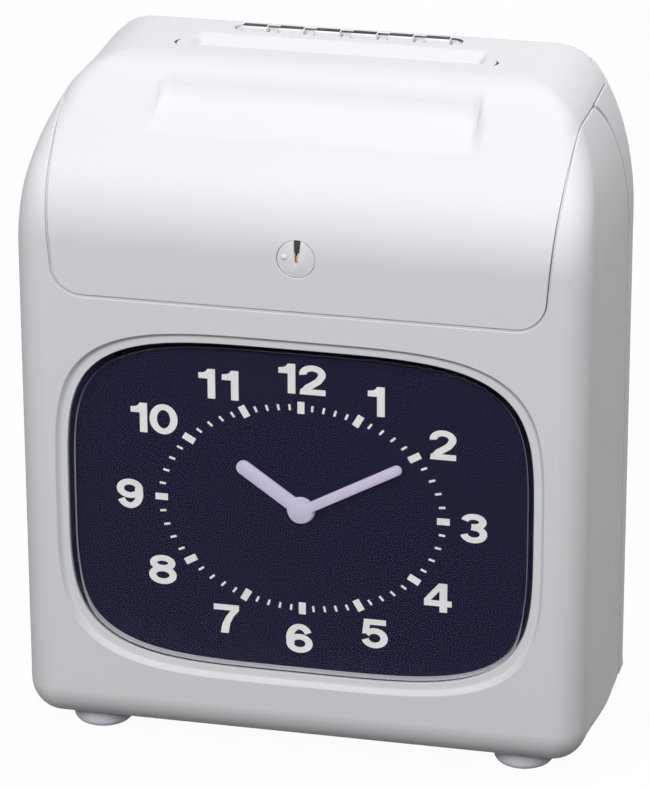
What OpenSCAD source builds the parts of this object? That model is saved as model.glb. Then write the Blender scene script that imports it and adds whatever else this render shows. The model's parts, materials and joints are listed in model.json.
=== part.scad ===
// Time clock with an analogue dial, a lockable lid, a card slot and a card printer inside.
// The front faces -Y, +Z is up, and the origin is on the floor under the middle of the case.

/* [Case] */
// Width of the case
case_w = 220; // [216:1:228]
// Depth, front to back
case_d = 105; // [104:1:110]
// Height of the top above the floor
case_h = 267; // [265:1:270]
// Height of the feet
foot_h = 7; // [6:0.5:9]
// Thickness of the shells
wall = 3; // [2.7:0.1:3.2]
// Open seam between neighbouring shells
seam = 0.8; // [0.6:0.1:1]
// Depth of the rear cover
rear_depth = 18.5; // [17:0.5:20]

/* [Outline seen from the front] */
// Radius of the bottom corners and of the bottom front edge
bottom_r = 15; // [13:0.5:16]
// Drop from the top to the start of the shoulders
shoulder_drop = 65; // [62:1:69]
// Radius of the shoulders
shoulder_r = 110; // [106:1:112]
// Radius between shoulder and top
crown_r = 26; // [24:1:28]
// Radius of the upright front edges
front_edge_r = 12; // [10:0.5:14]
// Radius of the upright rear edges
rear_edge_r = 5; // [4:0.5:6]

/* [Profile seen from the side] */
// Drop from the top to where the front starts to lean back
slope_drop = 58.6; // [57:0.2:61]
// Radius of the bend into the slope
slope_r = 36; // [34:1:38]
// Lean of the slope from upright, in degrees
slope_tilt = 47; // [45:0.5:49]
// Radius of the bend from slope to top
crest_r = 30; // [28:1:32]
// Radius of the rear top edge, round the hinge
hinge_r = 6; // [5.6:0.1:6.2]
// Start of the rounding along the edges of the slope, from the middle
slope_edge_x = 90; // [88:1:92]
// Radius of the rounding along the edges of the slope
slope_edge_r = 20; // [18:1:22]

/* [Lid] */
// Drop from the top to the lid's lower edge
lid_drop = 79.8; // [78:0.2:81]
// Half width of the lid at its lower edge
lid_half_w = 93.7; // [92:0.1:95]
// Lean of the lid's side edges, in degrees
lid_flare = 4.9; // [4.5:0.1:5.3]
// Radius of the lid's lower corners
lid_corner_r = 12; // [10:0.5:14]
// Drop from the top to the lid's edge along the sides
lid_side_drop = 15.7; // [15:0.1:17]
// Radius of the hinge rod
rod_r = 2; // [1.8:0.1:2.2]
// Half length of the hinge rod
rod_half = 70; // [66:1:71]
// Middle of each fixed hinge knuckle, from the middle of the case
knuckle_x = 56; // [54:1:58]
// Width of a fixed hinge knuckle
knuckle_w = 7.5; // [7:0.5:9]
// Drop from the top to the lower edge of the finger scoop
scoop_drop = 22.6; // [22:0.2:24]
// Length of the finger scoop up the slope
scoop_l = 29; // [26:0.5:30]
// Half width of the finger scoop
scoop_half_w = 62; // [58:1:64]
// Depth of the finger scoop at its upper edge
scoop_depth = 3; // [2.5:0.1:3.2]
// Corner radius of the finger scoop
scoop_r = 8; // [6:0.5:10]

/* [Window and dial] */
// Height of the window above the underside of the case
window_under = 30.1; // [29:0.1:31]
// Distance from the window up to the lid
window_over = 15.5; // [14.5:0.1:16.5]
// Half width of the window
window_a = 90.4; // [89:0.1:91]
// Squareness of the window outline
window_n = 4.1; // [3.6:0.1:4.6]
// Width of the bevel round the window
bevel_w = 4.1; // [3.6:0.1:4.6]
// Depth of the bevel round the window
bevel_d = 2.4; // [2.1:0.1:2.5]
// Setback of the dial behind the front
dial_back = 8; // [7.8:0.1:8.4]
// Thickness of the dial
dial_t = 1.5; // [1.2:0.1:1.8]
// Setback of the crystal behind the front
crystal_back = 1.5; // [1.3:0.1:1.7]
// Thickness of the crystal
crystal_t = 1.8; // [1.6:0.1:2]
// Half width of the ring of minute marks
ring_a = 54.9; // [53:0.1:56]
// Half height of the ring of minute marks
ring_b = 41.75; // [41:0.05:43]
// Hour mark, length and width
hour_mark = [4.9, 2.7];
// Minute mark, length and width
minute_mark = [2.4, 0.85];
// Thickness of the printed marks
mark_t = 0.15; // [0.1:0.05:0.2]

/* [Hands] */
// Hour shown
shown_hour = 10; // [0:1:11]
// Minutes shown
shown_minute = 10.2; // [0:0.2:59.8]
// Length of the hour hand
hour_l = 30; // [28:0.5:32]
// Width of the hour hand
hour_w = 5.9; // [5:0.1:6.5]
// Length of the minute hand
minute_l = 44.6; // [42:0.2:46]
// Width of the minute hand
minute_w = 4; // [3.5:0.1:4.5]
// Thickness of the hands
hand_t = 0.8; // [0.7:0.1:0.9]
// Radius of the hour hand's hub
hour_hub_r = 5.4; // [5:0.1:5.8]
// Radius of the minute hand's hub
minute_hub_r = 4.8; // [4.4:0.1:5.2]

/* [Lock] */
// Drop from the top to the lock
lock_drop = 58.5; // [57:0.5:59.5]
// Radius of the lock's face
lock_r = 7.2; // [6.8:0.1:7.4]
// Radius of the turning barrel
barrel_r = 5; // [4.6:0.1:5.2]
// Radius of the lock's body
lock_body_r = 8.6; // [8:0.1:9]
// Width of the keyway
keyway_w = 2; // [1.6:0.1:2.4]
// Length of the lock's body
lock_l = 11; // [10:0.5:12]
// Length of the cam, from the lock's middle
cam_l = 16; // [15:0.5:17]

/* [Card slot] */
// Middle of the slot, ahead of the back
slot_back = 35; // [34.5:0.1:35.5]
// Half width of the trough
trough_half_w = 61.5; // [60:0.5:62]
// Half width of the funnel
funnel_half_w = 55.5; // [54:0.5:56]
// Free depth of the throat, front to back
throat_d = 6; // [5.6:0.1:6.2]

/* [Buttons] */
// Number of buttons
button_count = 6; // [6]
// Middle of the buttons, ahead of the back
button_back = 14.5; // [14.4:0.1:14.8]
// Distance from button to button
button_pitch = 14.3; // [14:0.1:14.4]
// Width of a button
button_w = 9.9; // [9:0.1:10]
// Depth of a button, front to back
button_d = 5; // [4.6:0.1:5.2]
// Height of a button above the top
button_up = 2; // [1.9:0.1:2.4]
// Free travel of a button
button_travel = 1.5; // [1.2:0.1:1.6]
// Half width of the sunk tray round the buttons
tray_half_w = 45.5; // [45:0.5:46]
// Depth of the sunk tray
tray_sink = 1; // [0.8:0.1:1.2]

/* [Movement] */
// Half width of the movement plates
plate_half_w = 43; // [42:0.5:45]
// Half height of the movement plates
plate_half_h = 40; // [39:0.5:42]
// Thickness of the movement plates
plate_t = 2; // [1.8:0.1:2.2]
// Thickness of the wheels
wheel_t = 1.6; // [1.4:0.1:1.6]
// Free gap between stacked wheels
wheel_gap = 0.6; // [0.5:0.1:0.7]
// Tooth size of cannon pinion and minute wheel
cannon_m = 0.75; // [0.72:0.01:0.78]
// Tooth size of centre wheel and third pinion
centre_m = 0.6; // [0.58:0.01:0.62]
// Tooth size of third wheel and rotor pinion
third_m = 0.5; // [0.48:0.01:0.52]
// Play between meshing teeth
backlash = 0.16; // [0.12:0.01:0.2]
// Radial play of a shaft in its bore
running = 0.05; // [0.03:0.01:0.08]
// Radius of the minute arbor
arbor_r = 1.5; // [1.4:0.1:1.6]

/* [Printer] */
// Free depth of the card path between the guides
path_d = 6.6; // [6.4:0.1:6.8]
// Half width of the card path
path_half_w = 52; // [51:0.5:53]
// Thickness of the guides
guide_t = 2; // [1.8:0.1:2]
// Length of the card path below the print line
guide_drop = 111; // [106:1:115]
// Free room between the motors and the case
motor_room = 5; // [4:0.5:6]
// Thickness of the chassis plate
chassis_t = 2; // [1.6:0.1:2.2]
// Drop from the top to the print line
print_drop = 61; // [60:1:63]
// Radius of the carriage shafts
shaft_r = 2.5; // [2.3:0.1:2.7]
// Radius of the drive screw
screw_r = 3; // [2.8:0.1:3.2]
// Travel of the carriage to each side
carriage_travel = 30; // [26:1:30]
// Drop from the print line to the feed rollers
feed_drop = 66; // [62:1:68]
// Radius of the feed rollers
roller_r = 8; // [7.9:0.1:8.2]
// Width of a feed roller
roller_w = 12; // [10:0.5:13]
// Middle of each feed roller
roller_x = 30; // [28:1:32]
// Tooth size of the feed gears
feed_m = 0.8; // [0.78:0.01:0.82]
// Radius of the two motors
motor_r = 12; // [11:0.5:12.5]
// Length of the two motors
motor_l = 18; // [16:0.5:19]

/* [Electronics] */
// Half width of the main board
board_half_w = 62; // [60:1:63]
// Height of the main board's lower edge
board_z = 85; // [82:1:88]
// Height of the main board
board_h = 130; // [124:1:132]
// Thickness of the boards
board_t = 1.6; // [1.5:0.1:1.7]
// Distance of the main board from the back wall
board_off = 5; // [4.5:0.5:5.5]
// Transformer, width, depth and height
transformer = [46, 38, 38];
// Battery pack, width, depth and height
battery = [42, 22, 15];
// Middle of the power inlet, from the middle of the case
inlet_x = 54; // [50:1:58]
// Height of the power inlet
inlet_z = 34; // [33:1:38]

/* [Feet and fasteners] */
// Radius of a foot
foot_r = 10.8; // [10:0.1:11]
// Distance of the feet from the middle, sideways
foot_x = 84.3; // [82:0.1:86]
// Setback of the front feet behind the front
foot_in = 23.5; // [22.5:0.5:25]
// Radius of the screws
screw_shank_r = 1.5; // [1.4:0.1:1.6]
// Radius of the screw heads
screw_head_r = 3; // [2.8:0.1:3.2]
// Half distance between the wall holes, sideways
hole_x = 70; // [68:1:72]
// Heights of the wall holes
hole_z = [70, 200];
// Drop from the top to the vents
vent_drop = 23; // [22:1:26]
// Height of the vents
vent_h = 22; // [18:1:24]
// Radius of the wall holes
hole_r = 2.5; // [2.3:0.1:2.7]
// Heights of the case screws
case_screw_z = [32, 172];

/* [Hidden] */
$fn = 64;
arc_steps = 10;
half_w = case_w / 2;
front_y = -case_d / 2;
back_y = case_d / 2;
inner_front_y = front_y + wall;
inner_back_y = back_y - wall;
floor_z = foot_h + wall;
roof_z = case_h - wall;
seam_y = back_y - rear_depth;
lid_z = case_h - lid_drop;
lid_side_z = case_h - lid_side_drop;
scoop_z = case_h - scoop_drop;
lock_z = case_h - lock_drop;
window_b = (lid_z - window_over - foot_h - window_under) / 2;
dial_z = foot_h + window_under + window_b;
hinge_y = back_y - hinge_r;
hinge_z = case_h - hinge_r;
reach = case_h + case_d;
// Shoulder: a large arc runs into a smaller one that meets the top
shoulder_z = case_h - shoulder_drop;
crown_z = case_h - crown_r;
shoulder_turn = asin((crown_z - shoulder_z) / (shoulder_r - crown_r));
shoulder_x = half_w - shoulder_r;
crown_x = shoulder_x + (shoulder_r - crown_r) * cos(shoulder_turn);
// Slope: from the end of the lower bend straight to the start of the crest
slope_z = case_h - slope_drop;
bend_y = front_y + slope_r - slope_r * cos(slope_tilt);
bend_z = slope_z + slope_r * sin(slope_tilt);
crest_z = case_h - crest_r;
crest_y = slope_y(crest_z + crest_r * sin(slope_tilt)) + crest_r * cos(slope_tilt);
// Stations of the dial, the hands and the wheels, from front to back
crystal_y = front_y + crystal_back;
dial_y = front_y + dial_back;
hand_gap = 0.6;
hour_y = dial_y - 0.9 - hand_t;
minute_y = hour_y - hand_gap - hand_t;
cap_y = minute_y - 0.7;
plate_y = dial_y + dial_t;
hour_wheel_y = plate_y + plate_t + 0.4;
minute_wheel_y = hour_wheel_y + wheel_t + wheel_gap;
centre_wheel_y = minute_wheel_y + wheel_t + wheel_gap;
third_wheel_y = centre_wheel_y + wheel_t + wheel_gap;
rear_plate_y = third_wheel_y + wheel_t + wheel_gap;
// Wheel train: tooth counts and centres
cannon_teeth = 14;
minute_wheel_teeth = 42;
hour_pinion_teeth = 14;
hour_wheel_teeth = 56;
third_pinion_teeth = 12;
centre_teeth = 72;
rotor_teeth = 12;
third_teeth = 60;
minute_wheel_x = -cannon_m * (cannon_teeth + minute_wheel_teeth) / 2;
hour_m = -2 * minute_wheel_x / (hour_pinion_teeth + hour_wheel_teeth);
third_x = centre_m * (third_pinion_teeth + centre_teeth) / 2;
rotor_drop = third_m * (rotor_teeth + third_teeth) / 2;
rotor_z = dial_z - rotor_drop;
pivot_r = 1;
pipe_r = 2.6;
bush_r = 4;
magnet_r = 4.4;
stator_gap = 0.5;
stator_r = 8.6;
stator_drop = 18;
minute_turn = shown_minute * 6;
hour_turn = shown_hour * 30 + shown_minute / 2;
// Lock
lock_face_y = front_y - 0.4;
lock_shoulder_y = front_y + 1.6;
lock_body_y = inner_front_y;
lock_end_y = lock_body_y + lock_l;
cam_y = lock_end_y + 0.5;
cam_t = 1.8;
cam_w = 6;
catch_y = lock_end_y - 3;
shelf_z = lid_z - 4;
// Card path and printer, from the middle of the slot
slot_y = back_y - slot_back;
print_z = case_h - print_drop;
guide_z = print_z - guide_drop;
feed_z = print_z - feed_drop;
cheek_x = half_w - wall - motor_room - motor_l - chassis_t;
path_front_y = slot_y - path_d / 2;
path_rear_y = slot_y + path_d / 2;
guide_top = case_h - 14;
guide_half_w = path_half_w + 4;
cheek_y0 = slot_y - 38;
cheek_y1 = slot_y + 14;
cheek_top = print_z + 30;
shaft_y = slot_y - 21.5;
shaft_z = [print_z - 13, print_z + 13];
drive_y = slot_y - 26.5;
carriage_half_w = 16;
carriage_y0 = slot_y - 31.5;
carriage_y1 = slot_y - 15.5;
carriage_z0 = print_z - 18;
carriage_z1 = print_z + 18;
head_nose_half = 6;
print_window = carriage_travel + head_nose_half + 6;
nip = 0.25;
feed_y = slot_y + nip + roller_r;
pinch_y = slot_y - nip - roller_r;
feed_shaft_r = 2.5;
pinch_shaft_r = 2;
feed_teeth = 30;
feed_pinion_teeth = 12;
feed_motor_z = feed_z - feed_m * (feed_teeth + feed_pinion_teeth) / 2;
feed_gear_x = cheek_x - 14;
feed_gear_t = 5;
pinion_shaft_r = 1.5;
motor_x = cheek_x + chassis_t;
// Buttons
button_y = back_y - button_back;
button_edge = 0.6;
flange_lip = 0.7;
flange_t = 1.5;
flange_top = roof_z - 0.3;
stem_r = 1.2;
stem_l = 2.4;
switch_h = 1.5;
switch_top = flange_top - flange_t - stem_l - button_travel - 0.3;
switch_board_z = switch_top - switch_h - board_t;
switch_board_half = tray_half_w + 3.5;
switch_board_y = [button_y - 6.5, button_y + 3.5];
// Slot bezel
bezel_half_w = trough_half_w + 2.5;
bezel_y0 = slot_y - 5.6;
bezel_y1 = slot_y + 12;
bezel_z = guide_top + 3;
flange_y0 = bezel_y0 - 2.5;
flange_y1 = switch_board_y[0] - 0.6;
fit = 0.2;
loose = 0.3;
// Electronics
board_y = inner_back_y - board_off - board_t;
standoff_r = 4;
standoff_x = board_half_w - 6;
standoff_z = [board_z + 6, board_z + board_h - 6];
inlet_half = [14, 10];
inlet_y0 = back_y - 22;
inlet_y1 = back_y - 1;
inlet_lip = 4;
// Feet and fasteners
foot_y = [front_y + foot_in, seam_y - foot_r - 1.5];
post_r = 6.5;
post_x = half_w - wall - post_r + 0.5;
post_l = 14;
sink_depth = 4.5;
head_t = 2.2;

pearl = [0.80, 0.80, 0.83];
white = [0.90, 0.90, 0.91];
navy = [0.09, 0.09, 0.19];
steel = [0.66, 0.67, 0.69];
brass = [0.78, 0.62, 0.30];
dark = [0.13, 0.13, 0.14];
green = [0.10, 0.36, 0.22];
copper = [0.66, 0.36, 0.18];
grey = [0.55, 0.56, 0.58];

function arc(x, y, r, a0, a1) =
    [for (i = [0 : arc_steps]) let (a = a0 + (a1 - a0) * i / arc_steps) [x + r * cos(a), y + r * sin(a)]];
function mirrored(points) = [for (i = [len(points) - 1 : -1 : 0]) [-points[i][0], points[i][1]]];
function slope_y(z) = bend_y + (z - bend_z) * tan(slope_tilt);
function power(v, n) = sign(v) * pow(abs(v), 2 / n);
function window_points(grow) =
    [for (t = [0 : 5 : 355]) [(window_a + grow) * power(cos(t), window_n),
                              (window_b + grow) * power(sin(t), window_n)]];
function ring_radius(t) = 1 / sqrt(pow(sin(t) / ring_a, 2) + pow(cos(t) / ring_b, 2));

// Outlines, each set in by i from the outer face
function front_outline(i) =
    let (side = concat(arc(half_w - bottom_r, foot_h + bottom_r, bottom_r - i, -90, 0),
                       arc(shoulder_x, shoulder_z, shoulder_r - i, 0, shoulder_turn),
                       arc(crown_x, crown_z, crown_r - i, shoulder_turn, 90)))
    concat(side, mirrored(side));
function side_outline(i) =
    concat(arc(front_y + bottom_r, foot_h + bottom_r, bottom_r - i, 270, 180),
           arc(front_y + slope_r, slope_z, slope_r - i, 180, 180 - slope_tilt),
           arc(crest_y, crest_z, crest_r - i, 180 - slope_tilt, 90),
           arc(hinge_y, hinge_z, hinge_r - i, 90, 0),
           arc(back_y - rear_edge_r, foot_h + rear_edge_r, rear_edge_r - i, 0, -90));
function plan_outline(i) =
    let (side = concat(arc(half_w - front_edge_r, front_y + front_edge_r, front_edge_r - i, -90, 0),
                       arc(half_w - rear_edge_r, back_y - rear_edge_r, rear_edge_r - i, 0, 90)))
    concat(side, mirrored(side));
function slope_outline(i) =
    let (side = concat([[reach, -reach]],
                       [[slope_edge_x + reach, slope_edge_r * (sqrt(2) - 1) - reach - i * sqrt(2)]],
                       arc(slope_edge_x, -slope_edge_r, slope_edge_r - i, 45, 90)))
    concat(side, mirrored(side));
function lid_outline(grow) =
    let (r = lid_corner_r + grow,
         x = lid_half_w - lid_corner_r / cos(lid_flare),
         z = lid_z + lid_corner_r,
         top = lid_side_z + 4,
         side = concat(arc(x, z, r, -90, -lid_flare),
                       [[x + r / cos(lid_flare) + (top - z) * tan(lid_flare), top]]))
    concat(side, mirrored(side));
function rounded_rect(half, y0, y1, r) =
    let (side = concat(arc(half - r, y0 + r, r, -90, 0), arc(half - r, y1 - r, r, 0, 90)))
    concat(side, mirrored(side));

// Involute tooth outline with short teeth
function involute(a) = tan(a) * 180 / PI - a;
function half_tooth(m, teeth, r) =
    let (pitch = m * teeth / 2, base = pitch * cos(20))
    90 / teeth - backlash / 2 / pitch * 90 / PI + involute(20)
    - (r > base ? involute(acos(base / r)) : 0);
function gear_points(m, teeth) =
    let (pitch = m * teeth / 2, radii = [pitch - m, pitch, pitch + 0.75 * m])
    [for (k = [0 : teeth - 1])
        for (j = [0 : 5])
            let (r = radii[j < 3 ? j : 5 - j],
                 a = 360 * k / teeth + (j < 3 ? -1 : 1) * half_tooth(m, teeth, r))
            [r * cos(a), r * sin(a)]];

module along_x(x0, x1) {
    translate([x0, 0, 0]) rotate([90, 0, 90]) linear_extrude(x1 - x0) children();
}

module along_y(y0, y1) {
    translate([0, y1, 0]) rotate([90, 0, 0]) linear_extrude(y1 - y0) children();
}

module block(x, y, z) {
    translate([x[0], y[0], z[0]]) cube([x[1] - x[0], y[1] - y[0], z[1] - z[0]]);
}

module rod_x(r, x0, x1, y, z) {
    translate([x0, y, z]) rotate([0, 90, 0]) cylinder(r = r, h = x1 - x0);
}

module rod_y(r, y0, y1, x, z) {
    translate([x, y1, z]) rotate([90, 0, 0]) cylinder(r = r, h = y1 - y0);
}

module rod_z(r, z0, z1, x, y) {
    translate([x, y, z0]) cylinder(r = r, h = z1 - z0);
}

module both_sides() {
    children();
    mirror([1, 0, 0]) children();
}

// A toothed wheel whose first tooth points at angle turn, seen from the front
module gear_y(m, teeth, turn, y, t, x, z) {
    translate([x, 0, z]) along_y(y, y + t) rotate(turn) polygon(gear_points(m, teeth));
}

module gear_x(m, teeth, turn, x, t, y, z) {
    translate([0, y, z]) along_x(x, x + t) rotate(turn) polygon(gear_points(m, teeth));
}

// The whole case as one solid, set in by i
module case_solid(i) {
    intersection() {
        along_y(front_y + i, back_y - i) polygon(front_outline(i));
        along_x(-half_w, half_w) polygon(side_outline(i));
        linear_extrude(case_h + 1) polygon(plan_outline(i));
        translate([0, bend_y, bend_z]) rotate([180 - slope_tilt, 0, 0])
            linear_extrude(2 * reach, center = true) polygon(slope_outline(i));
    }
}

module case_skin() {
    difference() {
        case_solid(0);
        case_solid(wall);
    }
}

// Space taken by the lid, grown or shrunk at its seams
module lid_space(grow) {
    along_y(front_y - 1, 0) polygon(lid_outline(grow));
    block([-half_w, half_w], [front_y - 1, hinge_y + grow], [lid_side_z - grow, case_h + 1]);
    block([-half_w, half_w], [hinge_y - 1, back_y + 1], [hinge_z - grow, case_h + 1]);
}

module window_frame() {
    along_y(inner_front_y - 1, dial_y) difference() {
        polygon(window_points(bevel_w + 1));
        polygon(window_points(0));
    }
}

module window_cut() {
    translate([0, 0, dial_z]) {
        along_y(front_y - 1, dial_y) polygon(window_points(0));
        translate([0, front_y + bevel_d, 0]) rotate([90, 0, 0])
            linear_extrude(bevel_d, slices = 1, scale = [1 + bevel_w / window_a, 1 + bevel_w / window_b])
                polygon(window_points(0));
    }
}

module front_posts(r, y0, y1) {
    for (z = case_screw_z, x = [-post_x, post_x]) rod_y(r, y0, y1, x, z);
}

module foot_holes(r, z0, z1) {
    for (x = [-foot_x, foot_x], y = foot_y) rod_z(r, z0, z1, x, y);
}

module front_case() {
    color(pearl) difference() {
        union() {
            difference() {
                case_skin();
                lid_space(seam / 2);
                block([-half_w, half_w], [seam_y - seam / 2, back_y + 1], [0, case_h + 1]);
            }
            translate([0, 0, dial_z]) window_frame();
            block([-lid_half_w, lid_half_w], [inner_front_y - 1, catch_y + 6], [shelf_z, shelf_z + 3]);
            block([-8, 8], [catch_y, catch_y + 2], [shelf_z + 2, lock_z - barrel_r - 4]);
            front_posts(post_r, seam_y - seam / 2 - post_l, seam_y - seam / 2);
            foot_holes(4.5, foot_h + 1, floor_z + 5);
        }
        window_cut();
        front_posts(screw_shank_r, seam_y - post_l, seam_y);
        foot_holes(screw_shank_r, foot_h - 1, floor_z + 6);
    }
}

module wall_holes(r) {
    for (x = [-hole_x, hole_x], z = hole_z) rod_y(r, inner_back_y - 1, back_y + 1, x, z);
}

module vents() {
    for (k = [-4 : 4]) block([k * 9 - 1.5, k * 9 + 1.5], [inner_back_y - 1, back_y + 1],
                                [case_h - vent_drop - vent_h, case_h - vent_drop]);
}

module standoffs() {
    for (x = [-standoff_x, standoff_x], z = standoff_z)
        rod_y(standoff_r, board_y + board_t, inner_back_y + 1, x, z);
}

module knuckles() {
    both_sides() {
        rod_x(hinge_r - loose, knuckle_x - knuckle_w / 2, knuckle_x + knuckle_w / 2, hinge_y, hinge_z);
        block([knuckle_x - knuckle_w / 2, knuckle_x + knuckle_w / 2],
              [hinge_y, back_y - 0.5], [lid_side_z - 8, hinge_z]);
    }
}

module hinge_cut(r, x0, x1) {
    rod_x(r, x0, x1, hinge_y, hinge_z);
}

module rear_cover() {
    color(pearl) difference() {
        union() {
            difference() {
                case_skin();
                lid_space(seam / 2);
                block([-half_w, half_w], [front_y - 1, seam_y + seam / 2], [0, case_h + 1]);
                hinge_cut(hinge_r + 0.4, -half_w, half_w);
            }
            knuckles();
            standoffs();
            front_posts(post_r, seam_y + seam / 2, back_y - 1);
        }
        hinge_cut(rod_r, -half_w, half_w);
        wall_holes(hole_r);
        vents();
        block([inlet_x - inlet_half[0], inlet_x + inlet_half[0]], [inner_back_y - 1, back_y + 1],
              [inlet_z - inlet_half[1], inlet_z + inlet_half[1]]);
        front_posts(screw_shank_r, seam_y - 1, back_y + 1);
        front_posts(screw_head_r + 0.4, back_y - sink_depth, back_y + 1);
        for (x = [-standoff_x, standoff_x], z = standoff_z)
            rod_y(screw_shank_r, board_y, inner_back_y, x, z);
    }
}

module feet() {
    color(white) for (x = [-foot_x, foot_x], y = foot_y) translate([x, y, 0]) difference() {
        rotate_extrude() polygon(concat([[0, 0]], arc(foot_r - 4, 2.2, 2.2, -90, -25),
                                        [[foot_r, foot_h], [0, foot_h]]));
        translate([0, 0, -1]) cylinder(r = screw_head_r + 0.4, h = head_t + 1.6);
        cylinder(r = screw_shank_r, h = foot_h + 1);
    }
}

module foot_screws() {
    color(steel) for (x = [-foot_x, foot_x], y = foot_y) {
        rod_z(screw_head_r, 0.6, 0.6 + head_t, x, y);
        rod_z(screw_shank_r, 0.6 + head_t, floor_z + 4, x, y);
    }
}

module case_screws() {
    color(steel) {
        front_posts(screw_head_r, back_y - sink_depth, back_y - sink_depth + head_t);
        front_posts(screw_shank_r, seam_y - post_l + 2, back_y - sink_depth);
    }
}

module hinge_rod() {
    color(steel) rod_x(rod_r, -rod_half, rod_half, hinge_y, hinge_z);
}

module crystal() {
    color([0.85, 0.9, 0.95, 0.35]) translate([0, 0, dial_z]) difference() {
        along_y(crystal_y, dial_y) polygon(window_points(-fit));
        along_y(crystal_y + crystal_t, dial_y + 1) polygon(window_points(-2.2));
    }
}

module dial() {
    color(navy) translate([0, 0, dial_z]) difference() {
        along_y(dial_y, dial_y + dial_t) polygon(window_points(bevel_w));
        rod_y(bush_r, dial_y - 1, dial_y + dial_t + 1, 0, 0);
    }
}

module dial_marks() {
    color(white) for (k = [0 : 59])
        let (size = k % 5 == 0 ? hour_mark : minute_mark)
        translate([0, dial_y - mark_t, dial_z]) rotate([0, k * 6, 0])
            translate([-size[1] / 2, 0, ring_radius(k * 6) - size[0] / 2])
                cube([size[1], mark_t, size[0]]);
}

module movement_front_plate() {
    color(steel) translate([0, 0, dial_z]) difference() {
        union() {
            block([-plate_half_w, plate_half_w], [plate_y, plate_y + plate_t],
                  [-plate_half_h, plate_half_h]);
            rod_y(bush_r, dial_y - 0.4, plate_y + 1, 0, 0);
            rod_y(pivot_r, plate_y + 1, minute_wheel_y + wheel_t + 0.2, minute_wheel_x, 0);
        }
        rod_y(pipe_r + running, dial_y - 1, plate_y + plate_t + 1, 0, 0);
        rod_y(pivot_r + running, plate_y + 0.6, plate_y + plate_t + 1, third_x, 0);
        rod_y(pivot_r + running, plate_y + 0.6, plate_y + plate_t + 1, third_x, -rotor_drop);
    }
}

module movement_rear_plate() {
    color(steel) translate([0, 0, dial_z]) difference() {
        union() {
            block([-plate_half_w, plate_half_w], [rear_plate_y, rear_plate_y + plate_t],
                  [-plate_half_h, plate_half_h]);
            for (x = [-plate_half_w + 4, plate_half_w - 4], z = [-plate_half_h + 4, plate_half_h - 4])
                rod_y(3, plate_y + plate_t, rear_plate_y + 1, x, z);
        }
        for (place = [[0, 0], [third_x, 0], [third_x, -rotor_drop]])
            rod_y(pivot_r + running, rear_plate_y - 1, rear_plate_y + plate_t + 1, place[0], place[1]);
    }
}

module motor_stator() {
    color(grey) difference() {
        union() {
            rod_y(stator_r, plate_y + plate_t, minute_wheel_y, third_x, rotor_z);
            block([third_x - 22, third_x + 8], [plate_y + plate_t, minute_wheel_y],
                  [rotor_z - stator_drop, rotor_z - stator_drop + 5]);
            block([third_x - 3, third_x + 3], [plate_y + plate_t, minute_wheel_y],
                  [rotor_z - stator_drop, rotor_z - magnet_r]);
        }
        rod_y(magnet_r + stator_gap, plate_y, minute_wheel_y + 1, third_x, rotor_z);
    }
}

module motor_coil() {
    color(copper) difference() {
        block([third_x - 20, third_x - 6], [plate_y + plate_t, minute_wheel_y + 4],
              [rotor_z - stator_drop - 2.5, rotor_z - stator_drop + 7.5]);
        block([third_x - 21, third_x - 5], [plate_y, minute_wheel_y],
              [rotor_z - stator_drop, rotor_z - stator_drop + 5]);
    }
}

module chassis() {
    color(steel) difference() {
        union() {
            block([-motor_x, motor_x], [cheek_y0, cheek_y1], [floor_z, floor_z + chassis_t]);
            both_sides() block([cheek_x, motor_x], [cheek_y0, cheek_y1], [floor_z, cheek_top]);
        }
        for (z = shaft_z) rod_x(shaft_r, -half_w, half_w, shaft_y, z);
        rod_x(screw_r + running, -half_w, half_w, drive_y, print_z);
        rod_x(feed_shaft_r + running, -half_w, half_w, feed_y, feed_z);
        rod_x(pinch_shaft_r + running, -half_w, half_w, pinch_y, feed_z);
        rod_x(pinion_shaft_r + running, 0, half_w, feed_y, feed_motor_z);
        along_x(-half_w, half_w) polygon([[cheek_y0 + 10, floor_z + 20], [cheek_y1 - 10, floor_z + 20],
                                          [cheek_y1 - 10, guide_z - 10], [cheek_y0 + 10, guide_z - 10]]);
        foot_holes(5, floor_z - 1, floor_z + chassis_t + 6);
    }
}

module guide_tabs(y) {
    for (z = [guide_z + 6, print_z + 20])
        block([-cheek_x, cheek_x], [y, y + guide_t], [z, z + 9]);
}

module roller_windows(y) {
    both_sides() block([roller_x - roller_w / 2 - 1.5, roller_x + roller_w / 2 + 1.5],
                       [y - 1, y + guide_t + 1], [feed_z - roller_r - 1, feed_z + roller_r + 1]);
}

module front_card_guide() {
    y = path_front_y - guide_t;
    color(grey) difference() {
        union() {
            block([-guide_half_w, guide_half_w], [y, y + guide_t], [guide_z, guide_top]);
            guide_tabs(y);
        }
        roller_windows(y);
        block([-print_window, print_window], [y - 1, y + guide_t + 1], [print_z - 8, print_z + 8]);
    }
}

module rear_card_guide() {
    color(grey) difference() {
        union() {
            block([-guide_half_w, guide_half_w], [path_rear_y, path_rear_y + guide_t],
                  [guide_z, guide_top]);
            guide_tabs(path_rear_y);
            both_sides() block([path_half_w, guide_half_w], [path_front_y, path_rear_y + 1],
                               [guide_z, guide_top]);
            block([-guide_half_w, guide_half_w], [path_front_y, path_rear_y + 1], [guide_z, guide_z + 2]);
        }
        roller_windows(path_rear_y);
        block([-path_half_w + 2, path_half_w - 2], [path_rear_y - 1, path_rear_y + guide_t + 1],
              [print_z - 6, print_z + 6]);
    }
}

module platen() {
    color(dark) {
        block([-path_half_w + 2, path_half_w - 2], [path_rear_y, path_rear_y + guide_t + 1],
              [print_z - 6, print_z + 6]);
        block([-path_half_w, path_half_w], [path_rear_y + guide_t, path_rear_y + guide_t + 4],
              [print_z - 9, print_z + 9]);
    }
}

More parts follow.
